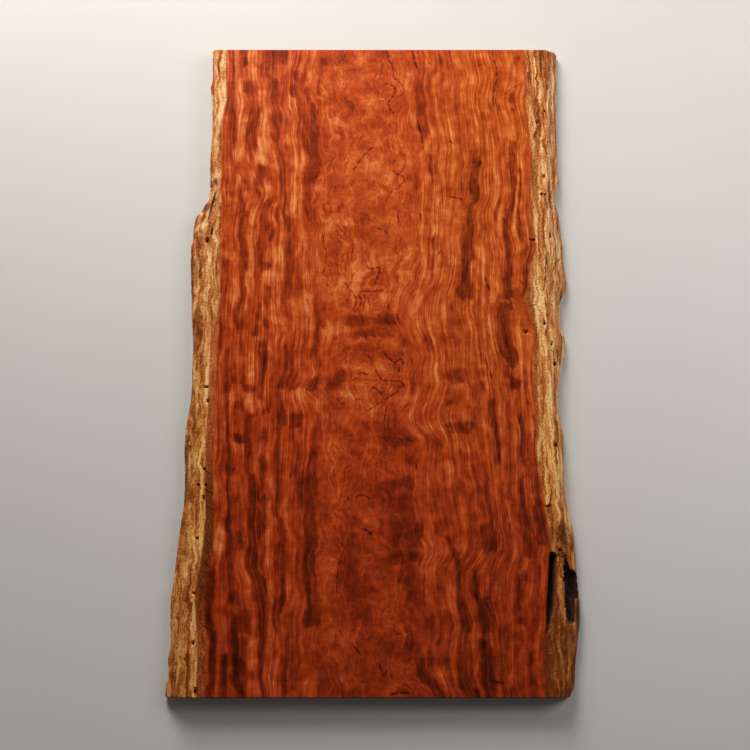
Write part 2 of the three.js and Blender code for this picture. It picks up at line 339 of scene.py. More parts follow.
def flat_places(wall, arris):
    """Distances out of the columns from FACE_REACH to the arris, past the wall line.

    Straight steps lead to the wall line, a close pair of columns stands on it, and the rest close up towards
    the arris as 1 - (1 - u)^CLOSING_POWER.
    """
    before = np.arange(1, WALL_COLUMNS + 1) / WALL_COLUMNS
    u = np.arange(1, RIM_COLUMNS + 1) / RIM_COLUMNS
    after = 1 - (1 - u) ** CLOSING_POWER
    near, far = wall - WALL_GAP, wall + WALL_GAP
    return np.hstack([FACE_REACH + (near - FACE_REACH) * before, far, far + (arris - far) * after])


def edge_lines(side, t, inset, lines):
    """Places at distances t of the widest line, which wobbles a little, and of the face arris."""
    known, widest, arris = lines[side]
    step = np.arange(0, known[-1] + 10 * EDGE_LINE_STEP, EDGE_LINE_STEP)
    out_line, in_line = (
        np.interp(t, step, rounded(np.interp(step, known, line), EDGE_LINE_WINDOW))
        for line in (widest, arris)
    )
    wobble = sum(random_field(0 * t, t, kind, side) for kind in EDGE_WOBBLES)
    out_line += wobble * np.clip(t * (known[-1] - t) / WOBBLE_FADE, 0, 1)
    return (out_line - side * inset)[:, None], (in_line - side * inset)[:, None]


def live_edge(side, t, inset, widest, arris, thickness):
    """The slope from the arris to the widest line: x, z and s, which goes from 0 to 1 down the slope.

    With turn = s 90 degrees, x goes out by (s + sin turn) / 2 and z falls by (s + 1 - cos turn) / 2 of the
    way to the widest line, plus the relief and the fibres along the slope's normal.
    """
    s = np.arange(1, SLOPE_COLUMNS + 1)[None] / SLOPE_COLUMNS
    turn = s * np.pi / 2
    drop = thickness - inset - WIDEST_HEIGHT
    reach = widest - arris
    out_rate = (1 + np.pi / 2 * np.cos(turn)) * np.abs(reach)
    down_rate = (1 + np.pi / 2 * np.sin(turn)) * drop
    steep = np.hypot(out_rate, down_rate)
    fibres = sum(random_field(s * SLOPE_CELLS + 0 * t, t + 0 * s, kind, side) for kind in EDGE_FIBRES)
    raised = relief(s, t, PHASES[side]) + fibres * np.sin(np.pi * s) * (inset == 0)
    x = arris + reach * (s + np.sin(turn)) / 2 + side * raised * down_rate / steep
    z = thickness - inset - drop * (s + 1 - np.cos(turn)) / 2 + raised * out_rate / steep
    return side * np.minimum(side * x, side * widest), np.minimum(z, thickness - inset), s[0]


def half_section(side, t, inset, lines, thickness):
    """One side's columns from near the middle of the face, out over the live edge and back underneath.

    Across the face x runs straight out to the arris, and the slope of live_edge follows. A quarter ellipse
    then tucks in to the underside, and x runs straight back.
    Returns x, z and s, where s is 0 on the face, 0 to 1 on the slope, 1 to 2 on the tuck and 2 underneath.
    """
    widest, arris = edge_lines(side, t, inset, lines)
    inset, t = inset[:, None], t[:, None]
    inner = np.linspace(0, FACE_REACH, INNER_COLUMNS + 1)[1:] * side + 0 * t
    wall = np.interp(t, *np.array(WALL_LINE, float).T) if side > 0 else TYPICAL_WALL + 0 * t
    face_x = np.hstack([inner, side * flat_places(wall, side * arris)])
    face_z = (thickness - inset) + 0 * face_x
    slope_x, slope_z, slope_s = live_edge(side, t, inset, widest, arris, thickness)
    back = np.arange(1, TUCK_COLUMNS + 1)[None] / TUCK_COLUMNS
    tuck_x = widest - side * TUCK * (1 - np.cos(back * np.pi / 2))
    tuck_z = WIDEST_HEIGHT + (inset - WIDEST_HEIGHT) * np.sin(back * np.pi / 2)
    in_share = np.arange(1, UNDER_COLUMNS)[None] / UNDER_COLUMNS
    under_x = tuck_x[:, -1:] * (1 - in_share)
    under_z = inset + 0 * under_x

    x = np.hstack([face_x, slope_x, tuck_x, under_x])
    z = np.hstack([face_z, slope_z, tuck_z, under_z])
    s = np.concatenate([np.zeros(face_x.shape[1]), slope_s, 1 + back[0], np.full(under_x.shape[1], 2.0)])
    return x, z, s[None] + 0 * x


def plain_height(x, t, lines, thickness):
    """Height of the upper surface at (x, t) without its flutes, as in the CAD solid."""
    height = np.full_like(x, thickness)
    for side in (-1, 1):
        known, widest, arris = lines[side]
        start, end = np.interp(t, known, arris), np.interp(t, known, widest)
        share = np.clip((x - start) / (end - start), 0, 1)
        fall = (thickness - WIDEST_HEIGHT) * share ** SLOPE_POWER
        height = np.where(side * x > 0, thickness - fall, height)
    return height


def hollow_floor(stations, outer_shade, x, t, lines, thickness):
    """Height of a hollow's floor at (x, t), or OUTSIDE where there is none, by the CAD solid's profile.

    Also returns its painted shade: 1 over the deep part, falling to the outer value given at its outer wall,
    and weaker where the hollow is shallow.
    """
    places, inner, outer, depth = np.array(stations, float).T
    inside = (t >= places[0]) & (t <= places[-1])
    inner, outer, depth = (np.interp(t, places, values) for values in (inner, outer, depth))
    share = (x - inner) / (outer - inner)
    floor = plain_height((inner + outer) / 2, t, lines, thickness) - depth
    lip = plain_height(outer, t, lines, thickness) - HOLLOW_LIP * depth
    lip = np.maximum(lip, floor + HOLLOW_LIP * depth)
    shares, heights = np.array(HOLLOW_FLOOR).T
    low = floor + np.interp(share, shares, heights) * depth
    last = shares[-1]
    climb = np.clip((share - last) / (1 - last), 0, 1)
    low = low * (1 - climb) + lip * climb
    inside &= (share >= 0) & (share <= 1)
    dark = np.interp(share, [0, HOLLOW_SHADE_END, 1], [1, 1, outer_shade])
    dark *= np.clip(depth / FULL_SHADE_DEPTH, 0, 1)
    return np.where(inside, low, OUTSIDE), np.where(inside, dark, 0)


def dent(places, x, t):
    """Share from 0 to 1 of a round-bottomed dent at each place: DENT_CORE - q^4, for elliptic distance q."""
    share = np.zeros_like(x)
    for place_x, place_t, width, length in places:
        squared = ((x - place_x) / (DENT_REACH * width)) ** 2 + ((t - place_t) / (DENT_REACH * length)) ** 2
        share = np.maximum(share, np.clip(DENT_CORE - squared ** 2, 0, 1))
    return share


def stain(x, t):
    """Strength from 0 to 1 of the brown stains: each fades as a cosine of its elliptic distance."""
    strength = np.zeros_like(x)
    for place_x, place_t, half_width, half_length, most in STAINS:
        distance = np.hypot((x - place_x) / half_width, (t - place_t) / half_length)
        fade = 0.5 + 0.5 * np.cos(np.pi * np.clip(distance / STAIN_REACH, 0, 1))
        strength = np.maximum(strength, most * fade)
    return strength


def bands_at(x, t):
    """Strength of the dark bands: a band's edges and strength are read at t, and its edges fade."""
    total = np.zeros_like(x)
    for band in DARK_BANDS:
        places, left, right, strength = np.array(band, float)[::-1].T
        before = strength[0] if places[0] < 1 else 0
        after = strength[-1] if places[-1] > LAST_PLACE else 0
        near = np.nonzero((x > left.min() - EDGE_FADE) & (x < right.max() + EDGE_FADE))
        at_x, at_t = x[near], t[near]
        inside = np.minimum(at_x - np.interp(at_t, places, left), np.interp(at_t, places, right) - at_x)
        share = smooth_share(inside / EDGE_FADE + 0.5) * np.interp(at_t, places, strength, before, after)
        total[near] = np.maximum(total[near], share)
    return total


def patches_at(patches, x, t):
    """Strength of the patches: turned superellipses of power 3 that fade at their outlines."""
    total = np.zeros_like(x)
    for place_x, place_t, half_width, half_length, turn, strength, softness in patches:
        reach = PATCH_REACH * (half_width + half_length)
        near = np.nonzero((np.abs(x - place_x) < reach) & (np.abs(t - place_t) < reach))
        out, up = x[near] - place_x, t[near] - place_t
        c, s = math.cos(math.radians(turn)), math.sin(math.radians(turn))
        across = np.abs(out * c + up * s) / half_width
        lengthwise = np.abs(up * c - out * s) / half_length
        distance = np.cbrt(across ** 3 + lengthwise ** 3)
        fade = softness * PATCH_FADE
        share = strength * smooth_share((1 - distance) / fade + 0.5)
        total[near] = np.maximum(total[near], share)
    return total


def grain_at(x, t):
    """Average place of the grain line through (x, t): evenly spread between the traced lines."""
    laid = [(-HEART_AVERAGE, LEFT_HEART)] + GRAIN_LINES + [(HEART_AVERAGE, RIGHT_HEART)]
    averages = [average for average, line in laid]
    lines = [along(line, t) for average, line in laid]
    place = averages[0] + np.minimum(x - lines[0], 0) + np.maximum(x - lines[-1], 0)
    for k in range(len(lines) - 1):
        share = np.clip((x - lines[k]) / (lines[k + 1] - lines[k]), 0, 1)
        place += (averages[k + 1] - averages[k]) * share
    return place


def wood_fields(x, z, t, kind, thickness):
    """The fields that colour the wood. Below the face the figure drifts along and towards the edges.

    With under = 0 on the face and 1 underneath, a place is looked up at x (1 - SPREAD under) + sway and at
    t + DRIFT under, so the figure runs on over the edges, the sawn ends and the underside.
    """
    under = (thickness - z) / thickness
    at_x = x * (1 - SPREAD * under) + SWAY * np.sin(t / SWAY_LENGTH + 2) * under
    at_t = t + DRIFT * under
    wavy_x = at_x + random_field(at_x, at_t, WAVY_FIGURE)
    ragged_x = wavy_x + random_field(at_x, at_t, RAGGED_ACROSS)
    ragged_t = at_t + random_field(at_x, at_t, RAGGED_ALONG)

    def by_side(left, right):
        """The left line's value left of the pith line, and the right one's right of it."""
        return np.where(at_x < 0, along(left, at_t), along(right, at_t))

    beyond_heart = np.abs(at_x) - np.abs(by_side(LEFT_HEART, RIGHT_HEART))
    brown_width = by_side(BROWN_WIDTH_LEFT, BROWN_WIDTH_RIGHT)
    return {
        "beyond_heart": beyond_heart,
        "grain": grain_at(wavy_x, at_t),
        "dark_bands": bands_at(ragged_x, ragged_t),
        "dark_patches": patches_at(DARK_PATCHES, ragged_x, ragged_t),
        "bright_patches": patches_at(BRIGHT_PATCHES, ragged_x, ragged_t),
        # The sapwood's lightness, with painted highlights on its pale ridges
        "sap_light": by_side(SAP_LIGHT_LEFT, SAP_LIGHT_RIGHT) + patches_at(SAP_PALE_AND_HIGHLIT, at_x, at_t),
        "edge_brown": 1 - smooth_share((beyond_heart - brown_width) / BROWN_FADE + 0.5),
        "brown_light": by_side(BROWN_LIGHT_LEFT, BROWN_LIGHT_RIGHT),
        "stain": stain(x, t) * (kind < 2),
        "slope": kind,
    }


def carved(x, t, z, upper, lines, thickness):
    """z with the hollows and borer holes sunk into the upper surface, and the painted shade of each hollow
    there.
    """
    rough = random_field(x, t, HOLLOW_GRAIN)
    torn = (x + random_field(x, t, TORN_ACROSS), t + random_field(x, t, TORN_ALONG))
    crevice_rise = CREVICE_RISE + random_field(x, t, CREVICE_LUMPS)
    hollow = np.zeros_like(x)
    # Each hollow's painted shade at its outer wall and at most; the crevice's stays light, so it keeps the
    # brown of torn wood
    for stations, outer_shade, hollow_shade_most, places, rise in (
        (INNER_POCKET, 0.35, 1.0, (x, t), 0.0),
        (OUTER_POCKET, 0.9, 1.0, torn, 0.0),
        (CREVICE, 0.4, 0.36, torn, crevice_rise),
    ):
        floor, dark = hollow_floor(stations, outer_shade, *places, lines, thickness)
        floor = floor + rise + rough
        sunk = upper & (floor < z - LEAST_SINK)
        z = np.where(sunk, np.maximum(floor, LEAST_FLOOR), z)
        hollow = np.where(sunk, np.maximum(hollow, hollow_shade_most * dark), hollow)
    return np.maximum(z - HOLE_DEPTH * dent(HOLES, x, t) * upper, 0), hollow


def slab_surface(length, thickness, lines):
    """The closed grid of the slab: x, y, z and the fields that its wood is coloured by."""
    rows = row_places(length)
    inset = np.where((rows == 0) | (rows == length), EASED, 0.0)
    halves = {side: half_section(side, rows, inset, lines, thickness) for side in (-1, 1)}
    middle = np.zeros((len(rows), 1))
    x, z, kind = [
        np.hstack([top, halves[-1][k], under, halves[1][k][:, ::-1]])
        for k, top, under in (
            (0, middle, middle),
            (1, thickness - inset[:, None], inset[:, None]),
            (2, middle, middle + 2),
        )
    ]
    t = rows[:, None] + 0 * x
    fields = wood_fields(x, z, t, kind, thickness)
    # The hollows' painted shade is carried as a field
    z, fields["hollow"] = carved(x, t, z, kind <= 1, lines, thickness)
    return x, t - length / 2, z, fields


# Places of the faces on the texture map, as shares of its width
CHART_EDGES = {
    "face": (0.004, 0.554),
    "left": (0.562, 0.640),
    "under": (0.648, 0.872),
    "right": (0.880, 0.958),
}
END_CHART = (0.966, 0.996)
MAP_MARGIN = 0.006
SHARP_ANGLE = math.radians(38)


def ring_charts():
    """For each face between two columns, its chart's map coordinate at both its columns."""
    edge_columns = SLOPE_COLUMNS + TUCK_COLUMNS
    inner = np.linspace(0, FACE_REACH, INNER_COLUMNS + 1)
    out_places = np.concatenate([inner, flat_places(np.array(TYPICAL_WALL), TYPICAL_ARRIS)])
    face_shares = 0.5 * out_places / TYPICAL_ARRIS
    edge_shares = np.arange(edge_columns + 1) / edge_columns
    under_shares = 0.5 * np.arange(UNDER_COLUMNS + 1) / UNDER_COLUMNS
    runs = [
        ("face", 0.5 - face_shares),
        ("left", edge_shares),
        ("under", under_shares),
        ("under", 0.5 + under_shares),
        ("right", 1 - edge_shares),
        ("face", (0.5 + face_shares)[::-1]),
    ]
    starts, ends = [], []
    for chart, shares in runs:
        low, high = CHART_EDGES[chart]
        spots = low + (high - low) * shares
        starts.append(spots[:-1])
        ends.append(spots[1:])
    return np.concatenate(starts), np.concatenate(ends)


def zipped_end(across, columns):
    """Triangles that close a sawn end, zipped from left to right between its upper and lower chains.

    A step along one chain joins the vertex of the other chain that lies last before the step's far end.
    """
    face_columns = INNER_COLUMNS + WALL_COLUMNS + 1 + RIM_COLUMNS + SLOPE_COLUMNS
    lower_columns = 2 * (TUCK_COLUMNS + UNDER_COLUMNS)
    lower = np.arange(face_columns, face_columns + lower_columns + 1)
    upper = np.concatenate([np.arange(face_columns, -1, -1), np.arange(columns - 1, lower[-1] - 1, -1)])
    upper_x, lower_x = across[upper], across[lower]
    below = np.searchsorted(lower_x[1:], upper_x[1:], side="left")
    above = np.searchsorted(upper_x[1:], lower_x[1:], side="right")
    above, below = np.minimum(above, len(upper) - 1), np.minimum(below, len(lower) - 1)
    triangles = np.vstack([
        np.stack([upper[1:], upper[:-1], lower[below]], axis=-1),
        np.stack([lower[:-1], lower[1:], upper[above]], axis=-1),
    ])
    whole = (triangles[:, 0] != triangles[:, 2]) & (triangles[:, 1] != triangles[:, 2])
    return triangles[whole]


def slab_map(x, y, z, end_triangles, length, thickness):
    """Texture coordinates of all corners: first those of the ring's quads, then those of both sawn ends."""
    chart_start, chart_end = ring_charts()
    v = MAP_MARGIN + (1 - 2 * MAP_MARGIN) * (y[:, 0] + length / 2) / length
    shape = (len(x) - 1, x.shape[1])
    left, right = np.broadcast_to(chart_start, shape), np.broadcast_to(chart_end, shape)
    low, high = np.broadcast_to(v[:-1, None], shape), np.broadcast_to(v[1:, None], shape)
    corners = [np.stack(corner, -1) for corner in ((left, low), (left, high), (right, high), (right, low))]
    parts = [np.stack(corners, axis=2).reshape(-1, 2)]
    for row, base, triangles in ((0, 0.0, end_triangles[0]), (-1, 0.5, end_triangles[1])):
        u = END_CHART[0] + (END_CHART[1] - END_CHART[0]) * z[row] / thickness
        across = (x[row] - x.min()) / (x.max() - x.min())
        v = base + MAP_MARGIN + (0.5 - 2 * MAP_MARGIN) * across
        parts.append(np.stack([u, v], axis=-1)[triangles].reshape(-1, 2))
    return np.vstack(parts)


def make_slab(length, thickness, lines):
    """The slab as one closed mesh: a ring of columns for each row, and triangles on each sawn end."""
    x, y, z, fields = slab_surface(length, thickness, lines)
    rows, columns = x.shape
    index = np.arange(rows * columns).reshape(rows, columns)
    following = np.roll(index, -1, axis=1)
    quads = np.stack([index[:-1], index[1:], following[1:], following[:-1]], axis=-1).reshape(-1, 4)
    end_triangles = [zipped_end(x[0], columns), zipped_end(x[-1], columns)[:, ::-1]]

    mesh = bpy.data.meshes.new("slab_visual")
    points = np.stack([x, y, z], axis=-1).reshape(-1, 3) * MM
    faces = quads.tolist() + end_triangles[0].tolist() + (end_triangles[1] + index[-1, 0]).tolist()
    mesh.from_pydata(points.tolist(), [], faces)
    for name, values in fields.items():
        layer = mesh.attributes.new(name, "FLOAT", "POINT")
        layer.data.foreach_set("value", values.reshape(-1).astype(np.float32))
    uv = slab_map(x, y, z, end_triangles, length, thickness)
    layer = mesh.uv_layers.new(name="OFBake")
    layer.data.foreach_set("uv", uv.astype(np.float32).reshape(-1))

    mesh.update()
    mesh.validate()
    mesh.shade_smooth()
    mesh.set_sharp_from_angle(angle=SHARP_ANGLE)
    slab = bpy.data.objects.new("slab_visual", mesh)
    bpy.context.scene.collection.objects.link(slab)
    return slab


class Wire:
    """One value in a material: a node's output, with arithmetic that adds Math nodes."""

    def __init__(self, sheet, socket):
        self.sheet = sheet
        self.socket = socket

    def __add__(self, other):
        return self.sheet.math("ADD", self, other)

    __radd__ = __add__

    def __sub__(self, other):
        return self.sheet.math("SUBTRACT", self, other)

    def __rsub__(self, other):
        return self.sheet.math("SUBTRACT", other, self)

    def __mul__(self, other):
        return self.sheet.math("MULTIPLY", self, other)

    __rmul__ = __mul__

    def __truediv__(self, other):
        return self.sheet.math("DIVIDE", self, other)

    def __rtruediv__(self, other):
        return self.sheet.math("DIVIDE", other, self)

    def size(self):
        return self.sheet.math("ABSOLUTE", self)

    def least(self, other):
        return self.sheet.math("MINIMUM", self, other)

    def most(self, other):
        return self.sheet.math("MAXIMUM", self, other)

    def step(self, low, high):
        """0 below low and 1 above high, with a smooth rise between them."""
        return self.sheet.node("ShaderNodeMapRange", {"interpolation_type": "SMOOTHSTEP"},
                               {"Value": self, "From Min": low, "From Max": high})["Result"]


class Sheet:
    """A material's node tree, filled by plain calls."""

    def __init__(self, name):
        self.material = bpy.data.materials.new(name)
        self.material.use_nodes = True
        self.tree = self.material.node_tree
        self.tree.nodes.clear()

    def node(self, kind, settings=None, sockets=None):
        """Adds one node: its settings first, then its sockets' values or links. Returns its outputs."""
        made = self.tree.nodes.new(kind)
        for name, value in (settings or {}).items():
            if name == "stops":
                self.set_stops(made.color_ramp, value)
            else:
                setattr(made, name, value)
        for name, value in (sockets or {}).items():
            socket = made.inputs[name]
            if isinstance(value, Wire):
                self.tree.links.new(value.socket, socket)
            else:
                socket.default_value = value
        return {output.name: Wire(self, output) for output in made.outputs if output.enabled}

    @staticmethod
    def set_stops(ramp, stops):
        """Fills a colour ramp with (place, colour) stops."""
        while len(ramp.elements) < len(stops):
            ramp.elements.new(0.5)
        for element, (place, colour) in zip(ramp.elements, stops):
            element.position = place
            element.color = (*colour, 1.0)

    def math(self, operation, *values):
        return self.node("ShaderNodeMath", {"operation": operation}, dict(enumerate(values)))["Value"]

    def point(self, x, y, z=0.0):
        return self.node("ShaderNodeCombineXYZ", None, {"X": x, "Y": y, "Z": z})["Vector"]

    def noise(self, place, detail=2.0, roughness=0.5):
        """Noise of unit scale, centred on 0, at a place worked out in its own units."""
        found = self.node("ShaderNodeTexNoise", {"noise_dimensions": "3D"},
                          {"Vector": place, "Scale": 1.0, "Detail": detail, "Roughness": roughness})
        return found["Fac"] - 0.5

    def cells(self, places, sizes, offset=0.0, detail=2.0, roughness=0.5):
        """Noise in cells of the given sizes in millimetres. The offset, in cells, picks another stretch."""
        across, lengthwise, down = (place / size for place, size in zip(places, sizes))
        return self.noise(self.point(across, lengthwise, down + offset), detail, roughness)

    def field(self, name):
        """A field that the mesh carries at its points."""
        return self.node("ShaderNodeAttribute", {"attribute_name": name})["Fac"]

    def ramp(self, value, stops):
        return self.node("ShaderNodeValToRGB", {"stops": stops}, {"Fac": value})["Color"]

    def mix(self, share, first, second):
        """Two colours mixed by a share."""
        made = self.tree.nodes.new("ShaderNodeMix")
        made.data_type = "RGBA"
        for place, value in ((0, share), (6, first), (7, second)):
            if isinstance(value, Wire):
                self.tree.links.new(value.socket, made.inputs[place])
            elif place:
                made.inputs[place].default_value = (*value, 1.0)
            else:
                made.inputs[place].default_value = value
        return Wire(self, made.outputs[2])

    def cone(self, place, x, t, half_width, half_length, turn=0.0):
        """1 at the middle of a turned ellipse, falling evenly to 0 at its outline."""
        turned = self.node("ShaderNodeMapping", {"vector_type": "TEXTURE"}, {
            "Vector": place, "Location": (x, t, 0), "Rotation": (0, 0, turn),
            "Scale": (half_width, half_length, 1e6),
        })["Vector"]
        return self.node("ShaderNodeTexGradient", {"gradient_type": "SPHERICAL"}, {"Vector": turned})["Fac"]


